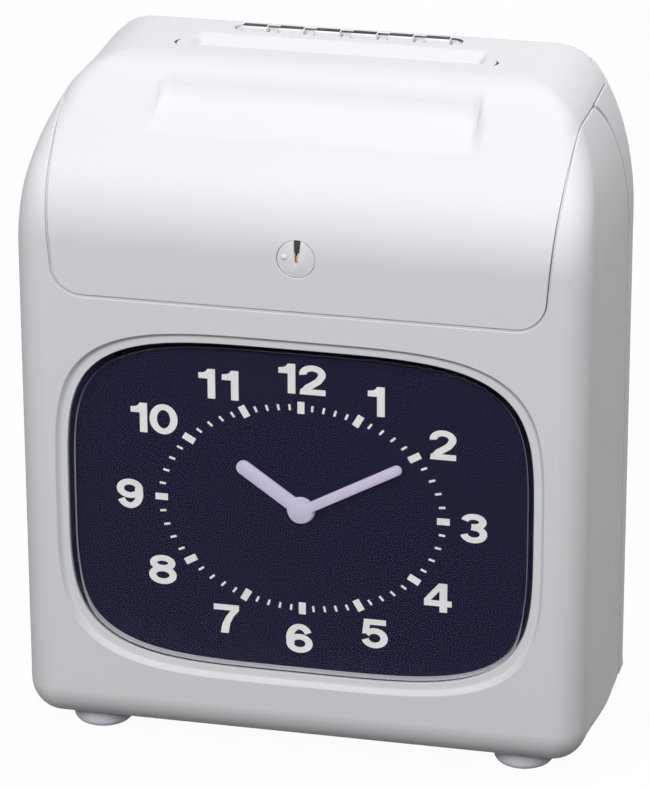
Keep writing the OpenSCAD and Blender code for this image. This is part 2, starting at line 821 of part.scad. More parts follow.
module guide_shafts() {
    color(steel) for (z = shaft_z) rod_x(shaft_r, -motor_x - 2, motor_x, shaft_y, z);
}

module motor_at(y, z, bore_r, bore_x) {
    difference() {
        rod_x(motor_r, motor_x, motor_x + motor_l, y, z);
        rod_x(bore_r + running, motor_x - 1, bore_x, y, z);
    }
}

module carriage_motor() {
    color(dark) motor_at(drive_y, print_z, screw_r, motor_x + 10);
}

module feed_motor() {
    color(dark) motor_at(feed_y, feed_motor_z, pinion_shaft_r, motor_x + 10);
}

module card_sensor() {
    color(dark) block([20, 32], [path_front_y - guide_t - 5, path_front_y - guide_t],
                      [guide_top - 12, guide_top - 4]);
}

module main_board() {
    color(green) difference() {
        block([-board_half_w, board_half_w], [board_y, board_y + board_t], [board_z, board_z + board_h]);
        for (x = [-standoff_x, standoff_x], z = standoff_z)
            rod_y(screw_shank_r, board_y - 1, board_y + board_t + 1, x, z);
    }
}

module board_components() {
    mid_z = board_z + board_h / 2;
    color(dark) {
        block([-14, 14], [board_y - 3, board_y], [mid_z - 7, mid_z + 7]);
        for (k = [0 : 2]) block([24, 40], [board_y - 3, board_y], [mid_z - 30 + k * 22, mid_z - 22 + k * 22]);
        for (k = [0 : 2]) rod_y(5, board_y - 6, board_y, -44 + k * 13, board_z + 20);
        block([10, 46], [board_y - 6, board_y], [board_z + 14, board_z + 22]);
        block([-46, -20], [board_y - 6, board_y], [board_z + board_h - 24, board_z + board_h - 16]);
    }
}

module board_screws() {
    color(steel) for (x = [-standoff_x, standoff_x], z = standoff_z) {
        rod_y(screw_head_r, board_y - head_t, board_y, x, z);
        rod_y(screw_shank_r, board_y, inner_back_y - 1, x, z);
    }
}

module transformer_core() {
    size = transformer;
    x = -cheek_x + 5;
    y = cheek_y0 + 8;
    z = floor_z + chassis_t;
    color(grey) difference() {
        block([x, x + size[0]], [y + 8, y + size[1] - 8], [z, z + size[2]]);
        for (k = [0, 1])
            block([x + 8 + k * 19, x + 19 + k * 19], [y, y + size[1]], [z + 8, z + size[2] - 8]);
    }
}

module transformer_winding() {
    size = transformer;
    x = -cheek_x + 5;
    y = cheek_y0 + 8;
    z = floor_z + chassis_t;
    color(copper) difference() {
        block([x + 8, x + size[0] - 8], [y, y + size[1]], [z + 8, z + size[2] - 8]);
        block([x + 19, x + size[0] - 19], [y + 8, y + size[1] - 8], [z, z + size[2]]);
    }
}

module battery_pack() {
    size = battery;
    color([0.25, 0.45, 0.62]) block([20, 20 + size[0]], [cheek_y0 + 8, cheek_y0 + 8 + size[1]],
                                    [floor_z + chassis_t, floor_z + chassis_t + size[2]]);
}

module power_inlet() {
    w = inlet_half[0] - fit;
    h = inlet_half[1] - fit;
    color(dark) difference() {
        union() {
            block([inlet_x - w, inlet_x + w], [inlet_y0, inlet_y1], [inlet_z - h, inlet_z + h]);
            block([inlet_x - w - inlet_lip, inlet_x + w + inlet_lip], [inner_back_y - 2, inner_back_y],
                  [inlet_z - h - inlet_lip, inlet_z + h + inlet_lip]);
        }
        block([inlet_x - w + 3, inlet_x + w - 3], [inlet_y0 + 3, inlet_y1 + 1],
              [inlet_z - h + 3, inlet_z + h - 3]);
    }
    color(steel) for (x = [-6, 6]) rod_y(1.2, inlet_y0 + 1, inlet_y1 - 6, inlet_x + x, inlet_z);
}

// Place on the slope: local Y runs up the slope and local Z out of it
module on_slope(z) {
    translate([0, slope_y(z), z]) rotate([90 - slope_tilt, 0, 0]) children();
}

module scoop_cut() {
    on_slope(scoop_z) intersection() {
        linear_extrude(40, center = true) polygon(rounded_rect(scoop_half_w, -2, scoop_l, scoop_r));
        rotate([-atan(scoop_depth / scoop_l), 0, 0]) translate([-half_w, -10, 0])
            cube([case_w, scoop_l + 20, 20]);
    }
}

module scoop_pad() {
    intersection() {
        case_solid(1);
        on_slope(scoop_z) translate([0, 0, -scoop_depth - wall])
            linear_extrude(scoop_depth + wall)
                polygon(rounded_rect(scoop_half_w + 3, -3, scoop_l + 3, scoop_r));
    }
}

function button_x(k) = (k - (button_count + 1) / 2) * button_pitch;

module button_wells() {
    translate([0, 0, case_h - tray_sink]) linear_extrude(tray_sink + 1)
        polygon(rounded_rect(tray_half_w, button_y - 4.3, button_y + 4.3, 4));
    for (k = [1 : button_count])
        block([button_x(k) - button_w / 2 - loose, button_x(k) + button_w / 2 + loose],
              [button_y - button_d / 2 - loose, button_y + button_d / 2 + loose], [roof_z - 1, case_h]);
    block([-tray_half_w, tray_half_w],
          [button_y - button_d / 2 - flange_lip - loose, button_y + button_d / 2 + flange_lip + loose],
          [flange_top - flange_t - button_travel - loose, roof_z]);
}

module lid() {
    color(pearl) difference() {
        union() {
            intersection() {
                case_skin();
                lid_space(-seam / 2);
            }
            intersection() {
                case_solid(0.5);
                hinge_cut(hinge_r - loose, -half_w, half_w);
            }
            scoop_pad();
            for (x = [-1, 1]) rod_z(2.2, switch_board_z + board_t, roof_z + 1, x * (tray_half_w + 1),
                                    switch_board_y[0] + 3);
        }
        scoop_cut();
        button_wells();
        hinge_cut(rod_r + running, -rod_half - 0.5, rod_half + 0.5);
        both_sides() hinge_cut(hinge_r + 0.4, knuckle_x - knuckle_w / 2 - loose,
                               knuckle_x + knuckle_w / 2 + loose);
        block([-bezel_half_w - fit, bezel_half_w + fit], [bezel_y0 - fit, bezel_y1 + fit],
              [bezel_z, case_h + 1]);
        rod_y(lock_r + loose, front_y - 1, inner_front_y + 1, 0, lock_z);
        rod_y(lock_body_r + fit, lock_body_y, lock_end_y, 0, lock_z);
    }
}

module slot_bezel() {
    throat = throat_d / 2;
    color(white) difference() {
        union() {
            block([-bezel_half_w, bezel_half_w], [bezel_y0, bezel_y1], [roof_z - 1.5, case_h]);
            block([-bezel_half_w - 3, bezel_half_w + 3], [flange_y0, flange_y1], [roof_z - 1.5, roof_z]);
            block([-path_half_w - 2, path_half_w + 2], [slot_y - throat - 1.8, slot_y + throat + 1.8],
                  [bezel_z, roof_z]);
        }
        block([-path_half_w, path_half_w], [slot_y - throat, slot_y + throat], [bezel_z - 1, case_h + 1]);
        along_x(-trough_half_w, trough_half_w) polygon([[slot_y - 4.6, case_h + 1], [slot_y - throat, roof_z],
            [slot_y + throat, roof_z], [slot_y + throat + 2, case_h + 1]]);
        along_x(-funnel_half_w, funnel_half_w) polygon([[slot_y, case_h + 1], [slot_y, roof_z],
            [slot_y + throat, roof_z], [slot_y + 11, case_h - 0.2], [slot_y + 11, case_h + 1]]);
    }
}

module lock_body() {
    color(grey) difference() {
        rod_y(lock_body_r, lock_body_y, lock_end_y, 0, lock_z);
        rod_y(barrel_r + running, lock_body_y - 1, lock_end_y + 1, 0, lock_z);
    }
}

module switch_board() {
    color(green) block([-switch_board_half, switch_board_half], switch_board_y,
                       [switch_board_z, switch_board_z + board_t]);
    color(dark) for (k = [1 : button_count])
        block([button_x(k) - 3, button_x(k) + 3], [button_y - 3, button_y + 3],
              [switch_board_z + board_t, switch_top]);
}

module lock_face() {
    color(white) difference() {
        union() {
            rod_y(lock_r, lock_face_y, lock_shoulder_y, 0, lock_z);
            rod_y(barrel_r, lock_shoulder_y, lock_end_y + 0.5, 0, lock_z);
        }
        block([-keyway_w / 2, keyway_w / 2], [lock_face_y - 1, lock_body_y + 4],
              [lock_z - 1, lock_z + lock_r - 1]);
    }
}

module lock_core() {
    color(brass) block([-keyway_w / 2, keyway_w / 2], [lock_face_y + 1.2, lock_body_y + 4],
                       [lock_z - 1, lock_z + 2.6]);
}

module lock_cam() {
    color(steel) block([-4, cam_l], [cam_y, cam_y + cam_t], [lock_z - cam_w / 2, lock_z + cam_w / 2]);
}

module button(k) {
    x = button_x(k);
    y = button_y;
    y0 = y - button_d / 2;
    y1 = y + button_d / 2;
    top = case_h + button_up;
    color(white) {
        along_x(x - button_w / 2, x + button_w / 2)
            polygon([[y0, flange_top - 1], [y1, flange_top - 1], [y1, top - button_edge],
                     [y1 - button_edge, top], [y0 + button_edge, top], [y0, top - button_edge]]);
        block([x - button_w / 2 - flange_lip, x + button_w / 2 + flange_lip],
              [y - button_d / 2 - flange_lip, y + button_d / 2 + flange_lip],
              [flange_top - flange_t, flange_top]);
        rod_z(stem_r, flange_top - flange_t - stem_l, flange_top - 1, x, y);
    }
}

module button_1() { button(1); }
module button_2() { button(2); }
module button_3() { button(3); }
module button_4() { button(4); }
module button_5() { button(5); }
module button_6() { button(6); }

module minute_arbor() {
    color(brass) {
        rod_y(arbor_r, minute_y, third_wheel_y, 0, dial_z);
        rod_y(pivot_r, third_wheel_y - 1, rear_plate_y + plate_t, 0, dial_z);
        gear_y(cannon_m, cannon_teeth, 180, minute_wheel_y, wheel_t, 0, dial_z);
        gear_y(centre_m, centre_teeth, 0, centre_wheel_y, wheel_t, 0, dial_z);
    }
}

// A straight hand with a round tip, pointing up from its hub
module hand(l, w, hub, bore, y) {
    difference() {
        along_y(y, y + hand_t) union() {
            polygon(concat([[-w / 2, 0]], [[w / 2, 0]], arc(0, l - w / 2, w / 2, 0, 180)));
            circle(r = hub);
        }
        rod_y(bore, y - 1, y + hand_t + 1, 0, 0);
    }
}

module minute_hand() {
    color(white) translate([0, 0, dial_z]) rotate([0, minute_turn, 0])
        hand(minute_l, minute_w, minute_hub_r, arbor_r, minute_y);
}

module hand_cap() {
    color(white) rod_y(2.6, cap_y, minute_y, 0, dial_z);
}

module hour_wheel() {
    color(brass) difference() {
        union() {
            gear_y(hour_m, hour_wheel_teeth, 180, hour_wheel_y, wheel_t, 0, dial_z);
            rod_y(pipe_r, hour_y, hour_wheel_y + 1, 0, dial_z);
        }
        rod_y(arbor_r + running, hour_y - 1, hour_wheel_y + wheel_t + 1, 0, dial_z);
    }
}

module hour_hand() {
    color(white) translate([0, 0, dial_z]) rotate([0, hour_turn, 0])
        hand(hour_l, hour_w, hour_hub_r, pipe_r, hour_y);
}

module minute_wheel() {
    color(brass) difference() {
        union() {
            gear_y(hour_m, hour_pinion_teeth, 180 / hour_pinion_teeth, hour_wheel_y,
                   wheel_t + wheel_gap + 0.2, minute_wheel_x, dial_z);
            gear_y(cannon_m, minute_wheel_teeth, 180 / minute_wheel_teeth, minute_wheel_y, wheel_t,
                   minute_wheel_x, dial_z);
        }
        rod_y(pivot_r + running, hour_wheel_y - 1, minute_wheel_y + wheel_t + 1, minute_wheel_x, dial_z);
    }
}

module third_wheel() {
    color(brass) {
        rod_y(pivot_r, plate_y + 0.8, rear_plate_y + plate_t, third_x, dial_z);
        gear_y(centre_m, third_pinion_teeth, 180 + 180 / third_pinion_teeth, centre_wheel_y,
               wheel_t + wheel_gap + 0.2, third_x, dial_z);
        gear_y(third_m, third_teeth, -90, third_wheel_y, wheel_t, third_x, dial_z);
    }
}

module rotor() {
    color(dark) {
        rod_y(pivot_r, plate_y + 0.8, rear_plate_y + plate_t, third_x, rotor_z);
        rod_y(magnet_r, plate_y + plate_t + 0.4, minute_wheel_y + 1, third_x, rotor_z);
        gear_y(third_m, rotor_teeth, 90 + 180 / rotor_teeth, third_wheel_y, wheel_t, third_x, rotor_z);
    }
}

module carriage() {
    color(dark) difference() {
        block([-carriage_half_w, carriage_half_w], [carriage_y0, carriage_y1], [carriage_z0, carriage_z1]);
        for (z = shaft_z) rod_x(shaft_r + running, -half_w, half_w, shaft_y, z);
        rod_x(screw_r + running, -half_w, half_w, drive_y, print_z);
    }
}

module print_head() {
    color(steel) {
        block([-10, 10], [carriage_y1, path_front_y - guide_t - 1], [print_z - 8, print_z + 8]);
        block([-head_nose_half, head_nose_half], [path_front_y - guide_t - 2, path_front_y - 0.4],
              [print_z - 4, print_z + 4]);
    }
}

module ribbon_cassette() {
    arm_y1 = path_front_y - guide_t - 1;
    color(dark) {
        block([-28, 28], [carriage_y0, arm_y1], [carriage_z1, carriage_z1 + 11]);
        both_sides() block([carriage_half_w + 4, carriage_half_w + 10], [carriage_y1 + 6, arm_y1],
                           [print_z - 6, carriage_z1 + 1]);
    }
}

module drive_screw() {
    color(steel) {
        rod_x(screw_r, -motor_x, motor_x + 9.5, drive_y, print_z);
        rod_x(screw_r + 2, -cheek_x + 0.4, -cheek_x + 2.4, drive_y, print_z);
        rod_x(screw_r + 2, cheek_x - 2.4, cheek_x - 0.4, drive_y, print_z);
    }
}

module feed_roller() {
    color(dark) {
        rod_x(feed_shaft_r, -motor_x - 1, motor_x + 1, feed_y, feed_z);
        both_sides() rod_x(roller_r, roller_x - roller_w / 2, roller_x + roller_w / 2, feed_y, feed_z);
    }
}

module feed_gear() {
    color(white) difference() {
        gear_x(feed_m, feed_teeth, -90, feed_gear_x, feed_gear_t, feed_y, feed_z);
        rod_x(feed_shaft_r, 0, half_w, feed_y, feed_z);
    }
}

module pinch_roller() {
    color(dark) {
        rod_x(pinch_shaft_r, -motor_x - 1, motor_x + 1, pinch_y, feed_z);
        both_sides() rod_x(roller_r, roller_x - roller_w / 2, roller_x + roller_w / 2, pinch_y, feed_z);
    }
}

module feed_pinion() {
    color(white) {
        gear_x(feed_m, feed_pinion_teeth, 90 + 180 / feed_pinion_teeth, feed_gear_x, feed_gear_t,
               feed_y, feed_motor_z);
        rod_x(pinion_shaft_r, feed_gear_x, motor_x + 9.5, feed_y, feed_motor_z);
    }
}

front_case();
rear_cover();
feet();
foot_screws();
case_screws();
hinge_rod();
crystal();
dial();
dial_marks();
movement_front_plate();
movement_rear_plate();
motor_stator();
motor_coil();
chassis();
front_card_guide();
rear_card_guide();
platen();
guide_shafts();
carriage_motor();
feed_motor();
card_sensor();
main_board();
board_components();
board_screws();
transformer_core();
transformer_winding();
battery_pack();
power_inlet();
lid();
slot_bezel();
lock_body();
switch_board();
lock_face();
lock_core();
lock_cam();
button_1();
button_2();
button_3();
button_4();
button_5();
button_6();
minute_arbor();
minute_hand();
hand_cap();
hour_wheel();
hour_hand();
minute_wheel();
third_wheel();
rotor();
carriage();
print_head();
ribbon_cassette();
drive_screw();
feed_roller();
feed_gear();
pinch_roller();
feed_pinion();
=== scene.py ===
"""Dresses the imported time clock: smooth shells, clear crystal, printed dial, hands, lock, keys and studio."""

import json
import math

import bmesh
import bpy
import numpy as np
from mathutils import Matrix, Vector
from mathutils.geometry import tessellate_polygon


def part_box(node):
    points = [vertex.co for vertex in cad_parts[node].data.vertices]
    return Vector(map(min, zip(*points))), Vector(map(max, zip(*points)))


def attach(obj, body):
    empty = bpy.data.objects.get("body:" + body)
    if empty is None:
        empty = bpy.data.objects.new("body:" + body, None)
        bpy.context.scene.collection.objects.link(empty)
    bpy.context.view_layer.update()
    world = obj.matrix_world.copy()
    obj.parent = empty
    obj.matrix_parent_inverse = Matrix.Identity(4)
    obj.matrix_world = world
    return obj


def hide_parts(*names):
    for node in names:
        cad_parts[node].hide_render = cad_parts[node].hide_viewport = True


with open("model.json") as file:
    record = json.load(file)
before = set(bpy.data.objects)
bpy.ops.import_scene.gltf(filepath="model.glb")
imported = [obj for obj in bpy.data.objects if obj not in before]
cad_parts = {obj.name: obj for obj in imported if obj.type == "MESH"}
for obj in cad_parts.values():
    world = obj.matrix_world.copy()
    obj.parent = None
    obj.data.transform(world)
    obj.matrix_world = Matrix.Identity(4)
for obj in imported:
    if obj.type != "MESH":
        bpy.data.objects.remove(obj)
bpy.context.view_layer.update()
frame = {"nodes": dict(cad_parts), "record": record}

bl_info = {
    "name": "Time Clock",
    "version": (1, 0, 0),
    "blender": (4, 5, 0),
    "location": "View3D > Sidebar > Time Clock",
    "description": "Builds the visible shells, dial, lock, keys and finishes of a card time clock",
    "category": "Add Mesh",
}

MM = 0.001
FAR = 1000.0


def node_mm(name):
    """Lowest and highest corner of a CAD node, in millimetres."""
    low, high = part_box(name)
    return np.array(low) / MM, np.array(high) / MM


# Case outlines, in millimetres: lines are (normal angle, point), arcs are (centre, radius, angles)
FRONT_Y, BACK_Y, TOP_Z = -52.5, 52.5, 267.0
HALF_W = 110.0
SLOPE = 47.0
BEND = (-16.5, 208.4, 36.0)
CREST = (5.37, 237.0, 30.0)
HINGE = (46.5, 261.0)
REAR_TOP = (42.5, 257.0, 10.0)
CROWN = (74.4, 241.0, 26.0)
CROWN_TURN = 27.66
LID_LOW = 187.2
DIAL_Z = 104.4
WINDOW = (90.4, 67.3, 4.1)
LOCK_Z = 208.5
SLOT_Y = 17.5
KEY_Y = 38.0
KEY_X = -0.85
TRAY = (-0.1, 44.6)
SHELF_DEPTH = 1.1
SCOOP_DEPTH = 4.5
LEAD_DEPTH = 3.0
CASE_SCREWS = [(x, z) for x in (-101.0, 101.0) for z in (32.0, 172.0)]
WALL_HOLES = [(x, z) for x in (-70, 70) for z in (70, 200)]
KNUCKLE_X, KNUCKLE_R, KNUCKLE_HALF = 56.0, 5.7, 3.75
BARREL_R, BARREL_END, ROD_R = 5.65, 87.2, 2.1
SWING_R = 6.4
KEY_COUNT, KEY_PITCH = 6, 14.3
FIGURE_TALL = 12.1


def on_circle(circle, angle):
    a = math.radians(angle)
    return circle[0] + circle[2] * math.cos(a), circle[1] + circle[2] * math.sin(a)


FRONT_LINES = [(0, (HALF_W, 0)), (90, (0, TOP_Z)), (CROWN_TURN, on_circle(CROWN, CROWN_TURN))]
FRONT_ARCS = [((0.0, 202.0, 110.0), 0, CROWN_TURN), (CROWN, CROWN_TURN, 90)]
UNDER_TILT = 2.2
TOE = (-37.5, 22.0, 15.0)
HEEL = (50.5, 5.57, 2.0)
SIDE_LINES = [(180, (FRONT_Y, 0)), (-90 - UNDER_TILT, on_circle(TOE, -90 - UNDER_TILT)),
              (180 - SLOPE, on_circle(BEND, 180 - SLOPE)), (90, (0, TOP_Z)), (0, (BACK_Y, 0))]
SIDE_ARCS = [(TOE, 180, 270 - UNDER_TILT), (BEND, 180 - SLOPE, 180), (CREST, 90, 180 - SLOPE),
             (REAR_TOP, 0, 90), (HEEL, -90 - UNDER_TILT, 0)]


def outline_distance(lines, arcs, u, v):
    """Signed distance to a convex outline of tangent lines and arcs."""
    d = np.full(np.shape(u), -FAR)
    for angle, point in lines:
        a = math.radians(angle)
        d = np.maximum(d, (u - point[0]) * math.cos(a) + (v - point[1]) * math.sin(a))
    for (cu, cv, r), a0, a1 in arcs:
        turn = np.degrees(np.arctan2(v - cv, u - cu))
        off = (turn - (a0 + a1) / 2 + 180) % 360 - 180
        d = np.where(np.abs(off) <= (a1 - a0) / 2, np.maximum(d, np.hypot(u - cu, v - cv) - r), d)
    return d


def front_distance(x, z):
    return outline_distance(FRONT_LINES, FRONT_ARCS, np.abs(x), z)


def side_distance(y, z):
    return outline_distance(SIDE_LINES, SIDE_ARCS, y, z)


def round_max(a, b, r):
    return np.minimum(np.maximum(a, b), -r) + np.hypot(np.maximum(a + r, 0), np.maximum(b + r, 0))


def smooth(t):
    t = np.clip(t, 0, 1)
    return t * t * (3 - 2 * t)


def round_rect(u, v, half_u, half_v, r):
    """Signed distance to a rounded rectangle about the origin."""
    a, b = np.abs(u) - half_u + r, np.abs(v) - half_v + r
    return np.hypot(np.maximum(a, 0), np.maximum(b, 0)) + np.minimum(np.maximum(a, b), 0) - r


def case_body(p):
    """Signed distance to the whole case, with rolled edges. The crown is a little wider at the front, and the
    edge of the underside is soft at the front corners and crisp behind them."""
    x, y, z = p[:, 0], p[:, 1], p[:, 2]
    h = 0.05
    wide = np.abs(x) - (0.6 + 1.7 * smooth((20 - y) / 50)) * smooth((z - 210) / 36)
    a, b = front_distance(wide, z), side_distance(y, z)
    rise_a = (front_distance(wide, z + h) - front_distance(wide, z - h)) / (2 * h)
    rise_b = (side_distance(y, z + h) - side_distance(y, z - h)) / (2 * h)
    back_b = (side_distance(y + h, z) - side_distance(y - h, z)) / (2 * h)
    under = (11.0 - 11.0 * smooth((20 - y) / 65)) * smooth(-rise_b / 0.73)
    edge = 13.0 - under + (under - 8.0 - 3.0 * smooth(-rise_b / 0.73)) * smooth(back_b / 0.4)
    return round_max(a, b, edge * np.clip(1 - rise_a * rise_b, 0, 1))


def ramp(t, e=0.12):
    """Straight rise from 0 to 1 with softened ends."""
    soft = lambda v: 0.5 * (v + np.sqrt(v * v + e * e))
    return soft(t) - soft(t - 1)


def scoop(p):
    """Depth of the finger scoop in the lid's slope: a long ramp down, then a straight wall up to the crest."""
    arc = math.radians(180 - SLOPE) - np.arctan2(p[:, 2] - CREST[1], p[:, 1] - CREST[0])
    up = np.where(arc > 0, 21.3 + CREST[2] * arc, (p[:, 2] - 244.4) / math.cos(math.radians(SLOPE)))
    ends = smooth((64.6 - 0.06 * up - np.abs(p[:, 0])) / 4.6)
    return SCOOP_DEPTH * np.clip((up - 1.0) / 17.0, 0, 1) * ramp((29.9 - up) / 11.6) * ends * (p[:, 1] < 5)


def slot_recess(p):
    """Depth of the card slot's lead-in below the flat top."""
    x, y = np.abs(p[:, 0]), p[:, 1]
    lead = LEAD_DEPTH * np.clip((28.6 - y) / 8.0, 0, 1) * smooth((57.5 - x) / 4.0) * smooth((y - 13.3) / 1.5)
    return np.where(p[:, 2] > 258, lead, 0.0)


def lid_body(p):
    return case_body(p) + scoop(p) + slot_recess(p)


def front_body(p):
    """The case, drawn in a little along the rear seam, so that the rear cover's edge stands proud."""
    return case_body(p) + 0.7 * smooth(1 + rear_seam(p) / 5)


def lid_area(p):
    """Positive over the lid, zero along the middle of its seam."""
    x, y, z = p[:, 0], p[:, 1], p[:, 2]
    # On the shoulder the surface turns away from the side, so the same step covers more of it
    turned_away = 1 + 1.2 * smooth((y + 40) / 36)
    side = (94.4 + 0.078 * (z - 198.3) - np.abs(x)) * turned_away
    front = -round_max(-side, LID_LOW - z, 11.0)
    return np.maximum(np.minimum(front, HINGE[0] - y), z - HINGE[1])


def rear_seam(p):
    """Positive behind the seam between front case and rear cover, which bends forward under the lid."""
    bend, hook = np.maximum(p[:, 2] - 185, 0), np.maximum(p[:, 2] - 240, 0)
    return p[:, 1] - 40.5 + 0.0035 * bend ** 2 + 0.035 * hook ** 2


def window_level(p, grow):
    """Distance outside the window outline, on the front alone."""
    a, b, n = WINDOW[0] + grow, WINDOW[1] + grow, WINDOW[2]
    level = (np.abs(p[:, 0] / a) ** n + np.abs((p[:, 2] - DIAL_Z) / b) ** n) ** (1 / n)
    return np.where(p[:, 1] < -45, (level - 1) * b, FAR)


def slope_of(field, p, h=0.03):
    """Gradient of a field by central differences."""
    out = np.empty_like(p)
    for k in range(3):
        step = np.zeros(3)
        step[k] = h
        out[:, k] = (field(p + step) - field(p - step)) / (2 * h)
    return out


def unit(v):
    return v / np.maximum(np.linalg.norm(v, axis=-1, keepdims=True), 1e-9)


def settle(body, p, rounds=3):
    """Moves points onto the body's surface."""
    for _ in range(rounds):
        g = slope_of(body, p)
        p = p - g * (body(p) / np.maximum((g * g).sum(1), 1e-6))[:, None]
    return p


# Skins: quads over the case, cut along fields, with rolled rims and an inner face

class Skin:
    """Points and faces on one body surface."""

    def __init__(self, body, points, faces):
        self.body, self.points, self.faces = body, points, faces
        self.rims = []

    def refine(self, field, reach, rounds=1):
        """Splits the quads that lie near a field's edge."""
        for _ in range(rounds):
            near = np.abs(field(self.points)) < reach
            points, made, faces = [], {}, []

            def middle(key, place):
                if key not in made:
                    made[key] = len(self.points) + len(points)
                    points.append(place)
                return made[key]

            for face in self.faces:
                if len(face) != 4 or not near[list(face)].any():
                    faces.append(face)
                    continue
                corners = self.points[list(face)]
                mids = [middle(tuple(sorted((face[k], face[(k + 1) % 4]))), (corners[k] + corners[(k + 1) % 4]) / 2)
                        for k in range(4)]
                hub = middle(face, corners.mean(0))
                faces += [(face[k], mids[k], hub, mids[k - 1]) for k in range(4)]
            if points:
                self.points = np.vstack([self.points, settle(self.body, np.array(points))])
            self.faces = faces
            reach /= 2

    def cut(self, field, keep_rim=True):
        """Keeps the part where the field is positive and notes the new rim."""
        value = field(self.points)
        pairs, made, faces, edges = [], {}, [], []

        def crossing(i, j):
            key = (min(i, j), max(i, j))
            if key not in made:
                made[key] = len(self.points) + len(pairs)
                pairs.append(key if value[key[0]] > 0 else key[::-1])
            return made[key]

        for face in self.faces:
            inside = [value[i] > 0 for i in face]
            if all(inside):
                faces.append(face)
                continue
            if not any(inside):
                continue
            ring, leave, enter = [], None, None
            for k, i in enumerate(face):
                j = face[(k + 1) % len(face)]
                if inside[k]:
                    ring.append(i)
                if inside[k] != (value[j] > 0):
                    c = crossing(i, j)
                    ring.append(c)
                    if inside[k]:
                        leave = c
                    else:
                        enter = c
            faces.append(tuple(ring))
            edges.append((leave, enter))
        if pairs:
            index = np.array(pairs)
            near, far = self.points[index[:, 0]], self.points[index[:, 1]]
            low, high = np.zeros(len(index)), np.ones(len(index))
            for _ in range(18):
                mid = (low + high) / 2
                kept = field(near + (far - near) * mid[:, None]) > 0
                low, high = np.where(kept, mid, low), np.where(kept, high, mid)
            cut = near + (far - near) * low[:, None]
            self.points = np.vstack([self.points, settle(self.body, cut)])
        self.faces = faces
        if keep_rim and edges:
            self.rims.append((field, edges))

    def normals(self):
        return unit(slope_of(self.body, self.points))


class Form:
    """A mesh being gathered: points, normals and faces, in millimetres."""

    def __init__(self):
        self.points, self.normals, self.faces, self.count = [], [], [], 0

    def add(self, points, normals, faces):
        base = self.count
        self.points.append(np.asarray(points, float))
        self.normals.append(np.asarray(normals, float))
        self.faces += [tuple(base + i for i in f) for f in faces]
        self.count += len(points)
        return base

    def build(self, name, finish):
        mesh = bpy.data.meshes.new(name)
        mesh.from_pydata((np.vstack(self.points) * MM).tolist(), [], self.faces)
        mesh.polygons.foreach_set("use_smooth", [True] * len(mesh.polygons))
        mesh.normals_split_custom_set_from_vertices(unit(np.vstack(self.normals)).tolist())
        return place_mesh(name, mesh, finish)


def place_mesh(name, mesh, finish):
    obj = bpy.data.objects.new(name, mesh)
    mesh.materials.append(finish)
    bpy.context.scene.collection.objects.link(obj)
    return obj


def spread(stops, step):
    """Stations along one side of the grid."""
    out = [stops[0]]
    for a, b in zip(stops, stops[1:]):
        n = max(1, math.ceil((b - a) / step))
        out += [a + (b - a) * (k + 1) / n for k in range(n)]
    return np.array(out)


def grid_quads(shape):
    at = np.arange(shape[0] * shape[1]).reshape(shape)
    return np.stack([at[:-1, :-1], at[1:, :-1], at[1:, 1:], at[:-1, 1:]], -1).reshape(-1, 4)


def case_grid(body, step, floor=None):
    """Quads over the whole case, found along rays from an inner box."""
    low, high = np.array([-115.0, -57.5, 2.0]), np.array([115.0, 57.5, 272.0])
    core_low, core_high = np.array([-84.0, -30.0, 32.0]), np.array([84.0, 30.0, 214.0])
    lines = [spread((low[k], core_low[k], core_high[k], high[k]), step) for k in range(3)]
    if floor is not None:
        lines[2] = lines[2][lines[2] > floor]
    points, faces, count = [], [], 0
    for k in range(3):
        i, j = (k + 1) % 3, (k + 2) % 3
        for end in (low[k], high[k]):
            if floor is not None and k == 2 and end == low[k]:
                continue
            a, b = np.meshgrid(lines[i], lines[j], indexing="ij")
            q = np.empty((a.size, 3))
            q[:, k], q[:, i], q[:, j] = end, a.ravel(), b.ravel()
            quads = count + grid_quads(a.shape)
            faces.append(quads if end == high[k] else quads[:, ::-1])
            points.append(q)
            count += a.size
    q = np.vstack(points)
    _, first, same = np.unique(np.round(q * 50).astype(np.int64), axis=0, return_index=True, return_inverse=True)
    q, faces = q[first], same.ravel()[np.vstack(faces)]
    core = np.clip(q, core_low, core_high)
    near, far = np.zeros(len(q)), np.ones(len(q))
    for _ in range(26):
        mid = (near + far) / 2
        inside = body(core + (q - core) * mid[:, None]) < 0
        near, far = np.where(inside, mid, near), np.where(inside, far, mid)
    found = core + (q - core) * near[:, None]
    return Skin(body, settle(body, found), [tuple(int(i) for i in f) for f in faces])


def add_skin(form, skin, wall):
    """Outer face, and an inner face one wall behind it."""
    used = sorted({i for f in skin.faces for i in f})
    at = {i: k for k, i in enumerate(used)}
    points, normals = skin.points[used], skin.normals()[used]
    faces = [tuple(at[i] for i in f) for f in skin.faces]
    form.add(points, normals, faces)
    form.add(points - normals * wall, -normals, [f[::-1] for f in faces])


